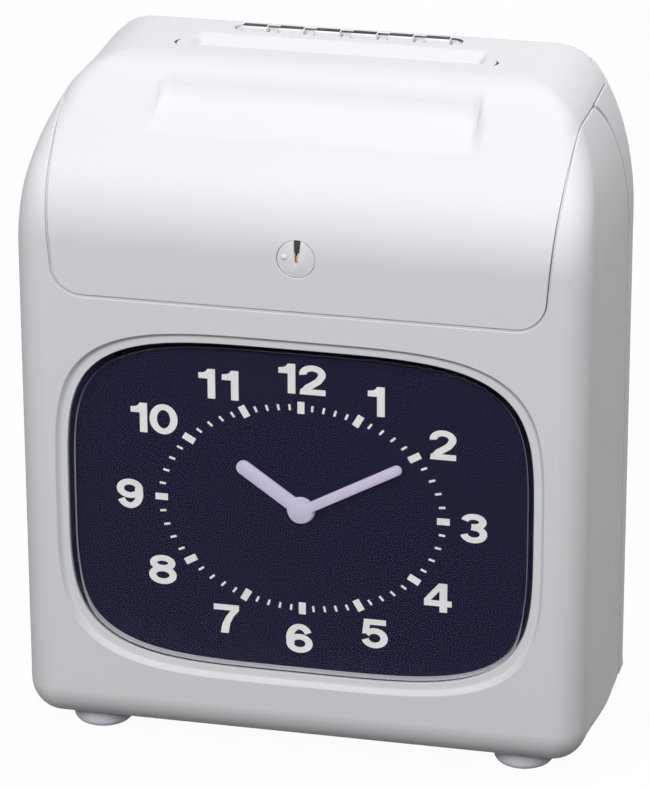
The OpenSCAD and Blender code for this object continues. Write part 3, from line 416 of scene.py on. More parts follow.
def add_rim(form, skin, field, edges, roll, depth, steps=4, shelf=0.0):
    """A rolled edge along a cut, then a straight face down to the given depth, with a low shelf in the seam."""
    used = sorted({i for e in edges for i in e})
    at = {i: k for k, i in enumerate(used)}
    p = skin.points[used]
    n = unit(slope_of(skin.body, p))
    t = -slope_of(field, p)
    t = unit(t - n * (t * n).sum(1)[:, None])
    rows, normals = [], []
    for k in range(steps + 1):
        a = math.pi / 2 * k / steps
        rows.append(p + roll * (math.sin(a) * t - (1 - math.cos(a)) * n))
        normals.append(math.cos(a) * n + math.sin(a) * t)
    creases = ()
    if shelf:
        inner, outer = p + roll * t - SHELF_DEPTH * n, p + (roll + shelf) * t - SHELF_DEPTH * n
        creases = (len(rows), len(rows) + 2)
        rows += [inner, inner, outer, outer]
        normals += [t, n, n, t]
    rows.append(p + (roll + shelf) * t - depth * n)
    normals.append(t)
    size = len(used)
    faces = []
    for k in range(len(rows) - 1):
        if k in creases:
            continue
        for a, b in edges:
            i, j = k * size + at[a], k * size + at[b]
            faces.append((j, i, i + size, j + size))
    form.add(np.vstack(rows), np.vstack(normals), faces)
    form.add(np.vstack([rows[-1], p - depth * n]), np.vstack([-n, -n]),
             [(at[b], at[a], at[a] + size, at[b] + size) for a, b in edges])


# Small solids: blocks, turned parts and cut outlines

def block_mesh(bm, low, high, edge, segments=2):
    """A block with rolled edges, added to a bmesh, in millimetres."""
    low, high = Vector(low) * MM, Vector(high) * MM
    made = bmesh.ops.create_cube(bm, size=1.0, matrix=Matrix.Translation((low + high) / 2)
                                 @ Matrix.Diagonal((*(high - low), 1.0)))
    edges = {e for v in made["verts"] for e in v.link_edges}
    bmesh.ops.bevel(bm, geom=list(edges), offset=edge * MM, segments=segments, affect="EDGES", profile=0.5)


def turned(bm, profile, place, axis, segments=48):
    """A turned part: profile of (radius, distance along the axis), closed at radius 0."""
    along = Vector(axis).normalized()
    across = along.orthogonal().normalized()
    side = along.cross(across)
    rings = []
    for r, d in profile:
        if r < 1e-6:
            rings.append([bm.verts.new((Vector(place) + along * d) * MM)])
            continue
        turns = [2 * math.pi * k / segments for k in range(segments)]
        rings.append([bm.verts.new((Vector(place) + along * d + (across * math.cos(t) + side * math.sin(t)) * r) * MM)
                      for t in turns])
    for a, b in zip(rings, rings[1:]):
        for k in range(segments):
            m = (k + 1) % segments
            ring = [a[k % len(a)], a[m % len(a)], b[m % len(b)], b[k % len(b)]]
            face = list(dict.fromkeys(ring))
            if len(face) > 2:
                bm.faces.new(face)


def finish_bmesh(name, bm, finish, angle=35.0):
    bmesh.ops.recalc_face_normals(bm, faces=bm.faces[:])
    mesh = bpy.data.meshes.new(name)
    bm.to_mesh(mesh)
    bm.free()
    mesh.polygons.foreach_set("use_smooth", [True] * len(mesh.polygons))
    mesh.set_sharp_from_angle(angle=math.radians(angle))
    return place_mesh(name, mesh, finish)


def keep_under(bm, depth):
    """Draws the points of a bmesh in to a depth under the case surface."""
    p = np.array([v.co[:] for v in bm.verts]) / MM
    for _ in range(4):
        p = p - unit(slope_of(case_body, p)) * np.maximum(case_body(p) + depth, 0)[:, None]
    for v, q in zip(bm.verts, p * MM):
        v.co = q


def inset(outline, d):
    """An outline moved inwards by d, corner by corner."""
    pts = np.array(outline)
    ahead, behind = unit(np.roll(pts, -1, 0) - pts), unit(pts - np.roll(pts, 1, 0))
    left = lambda v: np.stack([-v[:, 1], v[:, 0]], 1)
    area = 0.5 * np.sum(pts[:, 0] * np.roll(pts[:, 1], -1) - np.roll(pts[:, 0], -1) * pts[:, 1])
    turn = unit(left(ahead) + left(behind))
    reach = d / np.maximum((turn * left(ahead)).sum(1), 0.35)
    return pts + turn * reach[:, None] * (1 if area > 0 else -1)


def bridge(bm, rings):
    """Faces between each closed ring of points and the next."""
    for one, two in zip(rings, rings[1:]):
        for k in range(len(one)):
            m = (k + 1) % len(one)
            bm.faces.new((one[k], one[m], two[m], two[k]))


def plate_mesh(bm, outline, place, front, thick, edge):
    """A flat plate seen from the front: outline of (x, z), its front face at y = front, edges broken."""
    rows = [(inset(outline, edge), front), (inset(outline, edge * 0.3), front + edge * 0.3),
            (np.array(outline), front + edge), (np.array(outline), front + thick)]
    rings = [[bm.verts.new(Vector((place[0] + u, y, place[1] + v)) * MM) for u, v in ring] for ring, y in rows]
    bridge(bm, rings)
    bm.faces.new(rings[0])
    bm.faces.new(rings[-1][::-1])


def ribbon(bm, path, halves, top, thick):
    """A flat strip seen from above along a path of (x, y), with its half width at each point."""
    p = np.array(path)
    ahead = np.gradient(p, axis=0)
    side = unit(np.stack([-ahead[:, 1], ahead[:, 0]], 1)) * np.array(halves)[:, None]
    ring = np.vstack([p + side, (p - side)[::-1]])
    rows = [[bm.verts.new(Vector((u, v, z)) * MM) for u, v in ring] for z in (top, top - thick)]
    n, half = len(ring), len(p)
    for k in range(n):
        bm.faces.new((rows[0][k], rows[0][(k + 1) % n], rows[1][(k + 1) % n], rows[1][k]))
    for row in rows:
        for k in range(half - 1):
            bm.faces.new((row[k], row[k + 1], row[n - 2 - k], row[n - 1 - k]))


# Shader groups shared by the finishes

def new_group(name, inputs, outputs):
    tree = bpy.data.node_groups.new(name, "ShaderNodeTree")
    for label, kind, value in inputs:
        sock = tree.interface.new_socket(label, in_out="INPUT", socket_type=kind)
        sock.default_value = value
    for label, kind in outputs:
        tree.interface.new_socket(label, in_out="OUTPUT", socket_type=kind)
    return tree, tree.nodes.new("NodeGroupInput"), tree.nodes.new("NodeGroupOutput")


def put(tree, kind, links=None, **values):
    """A node with its settings, socket values and links."""
    node = tree.nodes.new(kind)
    for key, value in values.items():
        setattr(node, key, value)
    for key, value in (links or {}).items():
        socket = node.inputs[key]
        if isinstance(value, bpy.types.NodeSocket):
            tree.links.new(value, socket)
        else:
            socket.default_value = value
    return node


def number(tree, operation, a, b=0.0):
    return put(tree, "ShaderNodeMath", {0: a, 1: b}, operation=operation).outputs[0]


def remap(tree, value, low, high, to_low, to_high):
    return put(tree, "ShaderNodeMapRange", {"Value": value, "From Min": low, "From Max": high,
                                            "To Min": to_low, "To Max": to_high}).outputs[0]


def moulded_grain():
    """Fine spark texture of a mould, with a slow drift in gloss."""
    tree, given, out = new_group(
        "Moulded grain",
        [("Grain Size", "NodeSocketFloat", 0.0008), ("Roughness", "NodeSocketFloat", 0.4),
         ("Drift", "NodeSocketFloat", 0.05)],
        [("Height", "NodeSocketFloat"), ("Roughness", "NodeSocketFloat")])
    place = tree.nodes.new("ShaderNodeTexCoord").outputs["Object"]
    fine = put(tree, "ShaderNodeTexNoise", {"Vector": place, "Scale": number(tree, "DIVIDE", 1.0, given.outputs[0]),
                                            "Detail": 3.0, "Roughness": 0.6}).outputs[0]
    slow = put(tree, "ShaderNodeTexNoise", {"Vector": place, "Scale": 22.0, "Detail": 2.0}).outputs[0]
    sway = number(tree, "MULTIPLY", number(tree, "SUBTRACT", slow, 0.5), given.outputs["Drift"])
    speck = number(tree, "MULTIPLY", number(tree, "SUBTRACT", fine, 0.5), given.outputs["Drift"])
    tree.links.new(fine, out.inputs["Height"])
    tree.links.new(number(tree, "ADD", number(tree, "ADD", given.outputs["Roughness"], sway), speck),
                   out.inputs["Roughness"])
    return tree


def tone_drift():
    """Slow variation of a colour, as plastic and paint show, with a lighter edge."""
    tree, given, out = new_group(
        "Tone drift",
        [("Color", "NodeSocketColor", (0.8, 0.8, 0.8, 1)), ("Second Color", "NodeSocketColor", (0.7, 0.7, 0.7, 1)),
         ("Size", "NodeSocketFloat", 0.06), ("Amount", "NodeSocketFloat", 0.4),
         ("Edge Rub", "NodeSocketFloat", 0.2)],
        [("Color", "NodeSocketColor"), ("Edge", "NodeSocketFloat")])
    place = tree.nodes.new("ShaderNodeTexCoord").outputs["Object"]
    scale = number(tree, "DIVIDE", 1.0, given.outputs["Size"])
    cloud = put(tree, "ShaderNodeTexNoise", {"Vector": place, "Scale": scale, "Detail": 4.0,
                                             "Roughness": 0.55}).outputs[0]
    blend = number(tree, "MULTIPLY", remap(tree, cloud, 0.3, 0.7, 0.0, 1.0), given.outputs["Amount"])
    mixed = put(tree, "ShaderNodeMix", {0: blend, 6: given.outputs["Color"], 7: given.outputs["Second Color"]},
                data_type="RGBA").outputs[2]
    point = tree.nodes.new("ShaderNodeNewGeometry").outputs["Pointiness"]
    ridge = number(tree, "MULTIPLY", remap(tree, point, 0.53, 0.62, 0.0, 1.0), given.outputs["Edge Rub"])
    broken = number(tree, "MULTIPLY", ridge, remap(tree, cloud, 0.35, 0.65, 0.2, 1.0))
    lighter = put(tree, "ShaderNodeMix", {0: broken, 6: mixed, 7: (1.0, 1.0, 1.0, 1)}, data_type="RGBA").outputs[2]
    tree.links.new(lighter, out.inputs["Color"])
    tree.links.new(broken, out.inputs["Edge"])
    return tree


def brushed_lines():
    """Long fine lines of drawn or brushed metal, along one axis."""
    tree, given, out = new_group(
        "Brushed lines",
        [("Stretch", "NodeSocketVector", (40.0, 900.0, 900.0)), ("Roughness", "NodeSocketFloat", 0.35),
         ("Drift", "NodeSocketFloat", 0.2)],
        [("Height", "NodeSocketFloat"), ("Roughness", "NodeSocketFloat")])
    place = tree.nodes.new("ShaderNodeTexCoord").outputs["Object"]
    long = put(tree, "ShaderNodeVectorMath", {0: place, 1: given.outputs["Stretch"]}, operation="MULTIPLY").outputs[0]
    lines = put(tree, "ShaderNodeTexNoise", {"Vector": long, "Scale": 1.0, "Detail": 3.0}).outputs[0]
    sway = number(tree, "MULTIPLY", number(tree, "SUBTRACT", lines, 0.5), given.outputs["Drift"])
    tree.links.new(lines, out.inputs["Height"])
    tree.links.new(number(tree, "ADD", given.outputs["Roughness"], sway), out.inputs["Roughness"])
    return tree


GROUPS = {}


def shared(name):
    if name not in GROUPS:
        GROUPS[name] = {"grain": moulded_grain, "tone": tone_drift, "brushed": brushed_lines}[name]()
    return GROUPS[name]


def group_node(tree, name, **values):
    node = tree.nodes.new("ShaderNodeGroup")
    node.node_tree = shared(name)
    for key, value in values.items():
        node.inputs[key.replace("_", " ")].default_value = value
    return node


def linear(colour, alpha=True):
    """Display colour to the linear colour that the shader takes."""
    c = [v / 12.92 if v <= 0.04045 else ((v + 0.055) / 1.055) ** 2.4 for v in colour[:3]]
    return (*c, 1.0) if alpha else tuple(c)


def new_finish(name):
    finish = bpy.data.materials.new(name)
    finish.use_nodes = True
    return finish, finish.node_tree, finish.node_tree.nodes["Principled BSDF"]


def moulded(name, colour, second, rough=0.4, drift=0.06, grain=0.0008, bump=0.03, rub=0.1, amount=0.5, size=0.06,
            specular=0.5):
    """Moulded plastic or rubber."""
    finish, tree, shader = new_finish(name)
    tone = group_node(tree, "tone", Color=linear(colour), Second_Color=linear(second), Size=size, Amount=amount,
                      Edge_Rub=rub)
    fine = group_node(tree, "grain", Grain_Size=grain, Roughness=rough, Drift=drift)
    tree.links.new(tone.outputs["Color"], shader.inputs["Base Color"])
    tree.links.new(fine.outputs["Roughness"], shader.inputs["Roughness"])
    raised = put(tree, "ShaderNodeBump", {"Strength": bump, "Distance": 0.0002, "Height": fine.outputs["Height"]})
    tree.links.new(raised.outputs["Normal"], shader.inputs["Normal"])
    shader.inputs["Specular IOR Level"].default_value = specular
    return finish


def metal(name, colour, second, rough=0.32, drift=0.25, stretch=(40.0, 900.0, 900.0), bump=0.05, amount=0.5):
    """Brushed, drawn or plated metal."""
    finish, tree, shader = new_finish(name)
    tone = group_node(tree, "tone", Color=linear(colour), Second_Color=linear(second), Size=0.02, Amount=amount,
                      Edge_Rub=0.15)
    lines = group_node(tree, "brushed", Stretch=stretch, Roughness=rough, Drift=drift)
    tree.links.new(tone.outputs["Color"], shader.inputs["Base Color"])
    tree.links.new(lines.outputs["Roughness"], shader.inputs["Roughness"])
    raised = put(tree, "ShaderNodeBump", {"Strength": bump, "Distance": 0.0001, "Height": lines.outputs["Height"]})
    tree.links.new(raised.outputs["Normal"], shader.inputs["Normal"])
    shader.inputs["Metallic"].default_value = 1.0
    return finish


def clear_plastic(name):
    """Clear moulded acrylic with faint wipe marks, which lets the light through to the dial."""
    finish, tree, shader = new_finish(name)
    fine = group_node(tree, "grain", Grain_Size=0.004, Roughness=0.006, Drift=0.004)
    tree.links.new(fine.outputs["Roughness"], shader.inputs["Roughness"])
    shader.inputs["Base Color"].default_value = (1.0, 1.0, 1.0, 1.0)
    shader.inputs["Transmission Weight"].default_value = 1.0
    shader.inputs["IOR"].default_value = 1.4
    shader.inputs["Specular Tint"].default_value = (0.08, 0.08, 0.08, 1.0)
    path = tree.nodes.new("ShaderNodeLightPath")
    passing = number(tree, "MAXIMUM", path.outputs["Is Shadow Ray"], path.outputs["Is Diffuse Ray"])
    open_air = put(tree, "ShaderNodeBsdfTransparent", {"Color": (0.96, 0.96, 0.97, 1.0)})
    mixed = put(tree, "ShaderNodeMixShader", {0: passing, 1: shader.outputs[0], 2: open_air.outputs[0]})
    tree.links.new(mixed.outputs[0], tree.nodes["Material Output"].inputs["Surface"])
    return finish


def seen_rays(tree, path):
    """1 for the rays that show the white round the clock: camera, glossy and transmission rays."""
    seen = path.outputs["Is Camera Ray"]
    for label in ("Is Glossy Ray", "Is Transmission Ray"):
        seen = number(tree, "MAXIMUM", seen, path.outputs[label])
    return seen


def floor_finish(colour, bounce):
    """Pale floor that shows white to the camera and keeps the shadow."""
    finish, tree, shader = new_finish("Studio floor")
    shader.inputs["Roughness"].default_value = 0.9
    shader.inputs["Specular IOR Level"].default_value = 0.1
    path = tree.nodes.new("ShaderNodeLightPath")
    # The bounce back up to the case is held low
    tone = put(tree, "ShaderNodeMix", {0: path.outputs["Is Diffuse Ray"], 6: linear(colour), 7: linear(bounce)},
               data_type="RGBA").outputs[2]
    tree.links.new(tone, shader.inputs["Base Color"])
    seen = seen_rays(tree, path)
    glow = put(tree, "ShaderNodeEmission", {"Color": (1, 1, 1, 1), "Strength": 1.0})
    mixed = put(tree, "ShaderNodeMixShader", {0: number(tree, "MULTIPLY", seen, 0.96), 1: shader.outputs[0],
                                              2: glow.outputs[0]})
    tree.links.new(mixed.outputs[0], tree.nodes["Material Output"].inputs["Surface"])
    return finish


# First and second tone of each finish, as a colour or the name of a setting, and what differs from the usual
PLASTICS = {
    "case_plastic": ("case", "case_second",
                     dict(rough=0.46, drift=0.08, bump=0.025, rub=0.12, size=0.09, specular=0.08)),
    "foot_rubber": ("foot", (0.80, 0.80, 0.84), dict(rough=0.55, bump=0.08, size=0.01, specular=0.15)),
    "dial_paint": ("dial", (0.105, 0.105, 0.20),
                   dict(rough=0.7, grain=0.0004, bump=0.001, rub=0.0, size=0.05, specular=0.02)),
    "print_white": ("print", (0.86, 0.86, 0.85), dict(rough=0.5, grain=0.0003, rub=0.0, size=0.006)),
    "hand_paint": ("hands", (0.76, 0.73, 0.84), dict(rough=0.35, grain=0.0004, bump=0.02, size=0.01)),
    "button_plastic": ("keys", (0.84, 0.84, 0.86), dict(rough=0.34, bump=0.02, size=0.005)),
    "lock_plastic": ("lock", (0.78, 0.78, 0.80), dict(rough=0.3, bump=0.02, size=0.006)),
    "inner_plastic": ((0.60, 0.61, 0.63), (0.55, 0.56, 0.58), dict(rough=0.5, bump=0.05)),
    "white_nylon": ((0.88, 0.88, 0.85), (0.82, 0.82, 0.79), dict(size=0.01)),
    "black_plastic": ((0.10, 0.10, 0.11), (0.14, 0.14, 0.15), dict(rough=0.55, bump=0.06, size=0.02, specular=0.1)),
    "black_rubber": ((0.10, 0.10, 0.10), (0.16, 0.16, 0.16), dict(rough=0.75, bump=0.12, size=0.01)),
    "black_paint": ((0.13, 0.13, 0.14), (0.18, 0.18, 0.19), dict(bump=0.04, size=0.015)),
    "battery_sleeve": ((0.25, 0.45, 0.62), (0.20, 0.38, 0.55), dict(rough=0.25, size=0.01)),
    "board_green": ((0.10, 0.36, 0.22), (0.07, 0.28, 0.17),
                    dict(rough=0.35, grain=0.0015, bump=0.1, amount=0.7, size=0.006)),
}
METALS = {
    "steel": ((0.74, 0.75, 0.77), (0.62, 0.63, 0.65), dict(rough=0.3)),
    "sheet_steel": ((0.70, 0.71, 0.73), (0.60, 0.62, 0.66), dict(rough=0.38, stretch=(60.0, 60.0, 700.0))),
    "zinc": ((0.72, 0.73, 0.74), (0.60, 0.61, 0.63), dict(rough=0.42, stretch=(300.0, 300.0, 300.0))),
    "brass": ((0.83, 0.66, 0.34), (0.72, 0.55, 0.26), dict(rough=0.28, stretch=(500.0, 60.0, 500.0))),
    "copper": ((0.76, 0.42, 0.24), (0.60, 0.32, 0.17), dict(rough=0.35, stretch=(90.0, 90.0, 1800.0), bump=0.4)),
}
FINISHES = {}


def finish_of(slot):
    """The finish of a material slot, made once."""
    if slot in FINISHES:
        return FINISHES[slot]
    if slot == "clear":
        FINISHES[slot] = clear_plastic(slot)
    else:
        *tones, rest = PLASTICS[slot] if slot in PLASTICS else METALS[slot]
        chosen = bpy.context.scene.time_clock_finish
        tones = [getattr(chosen, tone) if isinstance(tone, str) else tone for tone in tones]
        FINISHES[slot] = (moulded if slot in PLASTICS else metal)(slot, *tones, **rest)
    return FINISHES[slot]


def fit(obj, body, slot, *nodes):
    """Hangs a piece on its body and hides the CAD nodes that it stands for; the finish slot is not used."""
    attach(obj, body)
    if nodes:
        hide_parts(*nodes)
    return obj


def dress(name, bm, body, slot, *nodes, angle=35.0):
    """Builds a piece from a bmesh and fits it."""
    return fit(finish_bmesh(name, bm, finish_of(slot), angle), body, slot, *nodes)


# Settings

class TimeClockShellSettings(bpy.types.PropertyGroup):
    wall: bpy.props.FloatProperty(name="Wall", description="Thickness of the shells", default=0.003, unit="LENGTH")
    seam: bpy.props.FloatProperty(name="Seam", description="Open seam between shells", default=0.0008, unit="LENGTH")
    roll: bpy.props.FloatProperty(name="Seam roll", description="Radius of the edges at the seams", default=0.0005,
                                  unit="LENGTH")
    mesh: bpy.props.FloatProperty(name="Mesh step", description="Spacing of the points on the case", default=0.0026,
                                  unit="LENGTH")
    lid_mesh: bpy.props.FloatProperty(name="Lid mesh step", description="Spacing of the points on the lid",
                                      default=0.0019, unit="LENGTH")


class TimeClockDialSettings(bpy.types.PropertyGroup):
    numeral: bpy.props.FloatProperty(name="Numeral height", description="Height of the numerals", default=0.0121,
                                     unit="LENGTH")
    ink: bpy.props.FloatProperty(name="Ink", description="Thickness of the printing", default=0.00012, unit="LENGTH")
    hour: bpy.props.FloatProperty(name="Hour hand", description="Turn of the hour hand at rest",
                                  default=math.radians(305.1), subtype="ANGLE")
    minute: bpy.props.FloatProperty(name="Minute hand", description="Turn of the minute hand at rest",
                                    default=math.radians(61.2), subtype="ANGLE")


class TimeClockFinishSettings(bpy.types.PropertyGroup):
    case: bpy.props.FloatVectorProperty(name="Case", description="Colour of the case", size=3, min=0, max=1,
                                        default=(0.814, 0.816, 0.829), subtype="COLOR_GAMMA")
    case_second: bpy.props.FloatVectorProperty(name="Case drift", description="Second tone of the case", size=3,
                                               min=0, max=1, default=(0.802, 0.804, 0.820), subtype="COLOR_GAMMA")
    dial: bpy.props.FloatVectorProperty(name="Dial", description="Colour of the dial", size=3, min=0, max=1,
                                        default=(0.105, 0.108, 0.205), subtype="COLOR_GAMMA")
    print: bpy.props.FloatVectorProperty(name="Printing", description="Colour of marks and numerals", size=3, min=0,
                                         max=1, default=(0.93, 0.93, 0.92), subtype="COLOR_GAMMA")
    hands: bpy.props.FloatVectorProperty(name="Hands", description="Colour of the hands", size=3, min=0, max=1,
                                         default=(0.80, 0.77, 0.87), subtype="COLOR_GAMMA")
    keys: bpy.props.FloatVectorProperty(name="Keys", description="Colour of the keys", size=3, min=0, max=1,
                                        default=(0.83, 0.83, 0.85), subtype="COLOR_GAMMA")
    lock: bpy.props.FloatVectorProperty(name="Lock", description="Colour of the lock's face", size=3, min=0, max=1,
                                        default=(0.83, 0.83, 0.85), subtype="COLOR_GAMMA")
    foot: bpy.props.FloatVectorProperty(name="Feet", description="Colour of the feet", size=3, min=0, max=1,
                                        default=(0.86, 0.86, 0.90), subtype="COLOR_GAMMA")


class TimeClockStageSettings(bpy.types.PropertyGroup):
    floor: bpy.props.FloatVectorProperty(name="Floor", description="Colour of the floor", size=3, min=0, max=1,
                                         default=(0.90, 0.90, 0.90), subtype="COLOR_GAMMA")
    bounce: bpy.props.FloatVectorProperty(name="Bounce", description="Colour of the light that the floor sends up",
                                          size=3, min=0, max=1, default=(0.18, 0.18, 0.18), subtype="COLOR_GAMMA")
    ambient: bpy.props.FloatProperty(name="Ambient", description="Light from all round", default=0.18, min=0)
    key: bpy.props.FloatProperty(name="Top light", description="Power of the large light overhead", default=13.0,
                                 subtype="POWER")
    fill: bpy.props.FloatProperty(name="Front light", description="Power of the light in front",
                                  default=33.5, subtype="POWER")
    left: bpy.props.FloatProperty(name="Left light", description="Power of the light at the left", default=10.0,
                                  subtype="POWER")
    right: bpy.props.FloatProperty(name="Right light", description="Power of the light at the right", default=1.4,
                                   subtype="POWER")
    rear: bpy.props.FloatProperty(name="Rear light", description="Power of the light behind", default=14.0,
                                  subtype="POWER")
    lens: bpy.props.FloatProperty(name="Lens", description="Focal length in millimetres", default=205.85,
                                  subtype="DISTANCE_CAMERA")


# Operators

class TIMECLOCK_OT_stage(bpy.types.Operator):
    """Makes the floor, the soft lights and the camera"""
    bl_idname = "timeclock.stage"
    bl_label = "Stage"

    def execute(self, context):
        s = context.scene.time_clock_stage
        context.scene.view_settings.view_transform = "Standard"
        bm = bmesh.new()
        bmesh.ops.create_circle(bm, cap_ends=True, cap_tris=True, radius=6.0, segments=96)
        floor = finish_bmesh("studio_floor", bm, floor_finish(s.floor, s.bounce))
        world = bpy.data.worlds.new("Studio")
        world.use_nodes = True
        tree = world.node_tree
        path = tree.nodes.new("ShaderNodeLightPath")
        level = remap(tree, seen_rays(tree, path), 0.0, 1.0, s.ambient, 1.0)
        tree.links.new(level, tree.nodes["Background"].inputs["Strength"])
        tree.nodes["Background"].inputs["Color"].default_value = (1, 1, 1, 1)
        context.scene.world = world
        self.lamp("overhead_softbox", (0.2, 0.35, 1.7), (0, 0, 0.14), 1.2, s.key)
        self.lamp("front_softbox", (0.3, -1.72, 1.35), (0, 0, 0.14), 1.0, s.fill)
        self.lamp("left_softbox", (-1.2, -1.2, 1.1), (0, 0, 0.14), 0.8, s.left)
        self.lamp("right_softbox", (0.75, -0.1, 0.75), (0, 0, 0.14), 0.4, s.right)
        self.lamp("rear_softbox", (0.4, 2.2, 0.45), (0, 0, 0.14), 1.0, s.rear, glossy=False)
        camera = bpy.data.cameras.new("photo_camera")
        camera.lens, camera.sensor_width, camera.sensor_fit = s.lens, 36.0, "AUTO"
        camera.clip_start, camera.clip_end = 0.05, 50.0
        seat = bpy.data.objects.new("photo_camera", camera)
        context.scene.collection.objects.link(seat)
        back = Vector((0.20679, -0.89832, 0.38762)).normalized()
        level_right = Vector((0, 0, 1)).cross(back).normalized()
        level_up = back.cross(level_right)
        roll = math.radians(-0.213)
        right = level_right * math.cos(roll) + level_up * math.sin(roll)
        up = back.cross(right)
        turn = Matrix((right, up, back)).transposed().to_4x4()
        seat.matrix_world = Matrix.Translation((0.3582, -1.5609, 0.8069)) @ turn
        context.scene.camera = seat
        return {"FINISHED"}

    @staticmethod
    def lamp(name, place, target, size, power, glossy=True):
        light = bpy.data.lights.new(name, "AREA")
        light.shape, light.size, light.energy = "DISK", size, power
        obj = bpy.data.objects.new(name, light)
        bpy.context.scene.collection.objects.link(obj)
        obj.location, obj.visible_glossy = place, glossy
        obj.rotation_euler = (Vector(target) - Vector(place)).to_track_quat("-Z", "Y").to_euler()


def shell_sizes(context):
    s = context.scene.time_clock_shell
    return s.wall / MM, s.seam / MM / 2 + s.roll / MM, s.roll / MM


class TIMECLOCK_OT_front_case(bpy.types.Operator):
    """Makes the front case with its window, shelf, catch and screw posts"""
    bl_idname = "timeclock.front_case"
    bl_label = "Front case"

    def execute(self, context):
        wall, edge, roll = shell_sizes(context)
        skin = case_grid(front_body, context.scene.time_clock_shell.mesh / MM)
        lid_seam = lambda p: -lid_area(p) - edge
        rear_edge = lambda p: -rear_seam(p) - edge
        rim = 4.1 + 0.35
        window = lambda p: window_level(p, rim)
        skin.refine(window, 2.5)
        skin.refine(lid_area, 3.0)
        for field in (lid_seam, rear_edge, window):
            skin.cut(field)
        form = Form()
        add_skin(form, skin, wall)
        for field, edges in skin.rims[:2]:
            add_rim(form, skin, field, edges, roll, wall, shelf=0.5)
        self.frame(form, skin, skin.rims[-1][1], rim)
        fit(form.build("front_case_shell", finish_of("case_plastic")), "case", "case_plastic", "front_case")
        bm = bmesh.new()
        for x, z in CASE_SCREWS:
            turned(bm, [(1.6, 19.6), (1.6, 33.5), (6.3, 33.5), (6.3, 19.6), (1.6, 19.6)], (x, 0, z), (0, 1, 0))
        block_mesh(bm, (-93.0, -50.5, 183.2), (93.0, -35.5, 186.2), 0.6)
        block_mesh(bm, (-8.0, -41.5, 185.2), (8.0, -39.5, 199.5), 0.5)
        dress("front_case_posts", bm, "case", "case_plastic")
        return {"FINISHED"}

    @staticmethod
    def frame(form, skin, edges, rim):
        """Bevel and wall round the window, from the front face back to the dial."""
        a, b, n = WINDOW
        used = sorted({i for e in edges for i in e})
        at = {i: k for k, i in enumerate(used)}
        p = skin.points[used]
        x, z = p[:, 0] / (a + rim), (p[:, 2] - DIAL_Z) / (b + rim)
        out = unit(np.stack([np.sign(x) * np.abs(x) ** (n - 1) / (a + rim), np.zeros(len(p)),
                             np.sign(z) * np.abs(z) ** (n - 1) / (b + rim)], 1))
        ahead = np.array([0.0, 1.0, 0.0])
        profile = [(rim, 0.0), (4.3, 0.05), (4.1, 0.24), (3.8, 0.7), (3.4, 1.3), (3.05, 1.7), (2.7, 1.92), (2.3, 2.0),
                   (0.25, 2.05), (0.08, 2.12), (0.0, 2.3), (0.0, 7.9), (5.1, 7.9), (5.1, 3.0)]
        rows = []
        for grow, depth in profile:
            row = np.stack([x * (a + grow), FRONT_Y + depth + 0 * x, DIAL_Z + z * (b + grow)], 1)
            rows.append(row)
        size = len(used)
        for k in range(len(rows) - 1):
            (g0, y0), (g1, y1) = profile[k], profile[k + 1]
            face = unit(-(y1 - y0) * out + (g1 - g0) * ahead)
            quads = [(at[e[1]], at[e[0]], at[e[0]] + size, at[e[1]] + size) for e in edges]
            form.add(np.vstack([rows[k], rows[k + 1]]), np.vstack([face, face]), quads)


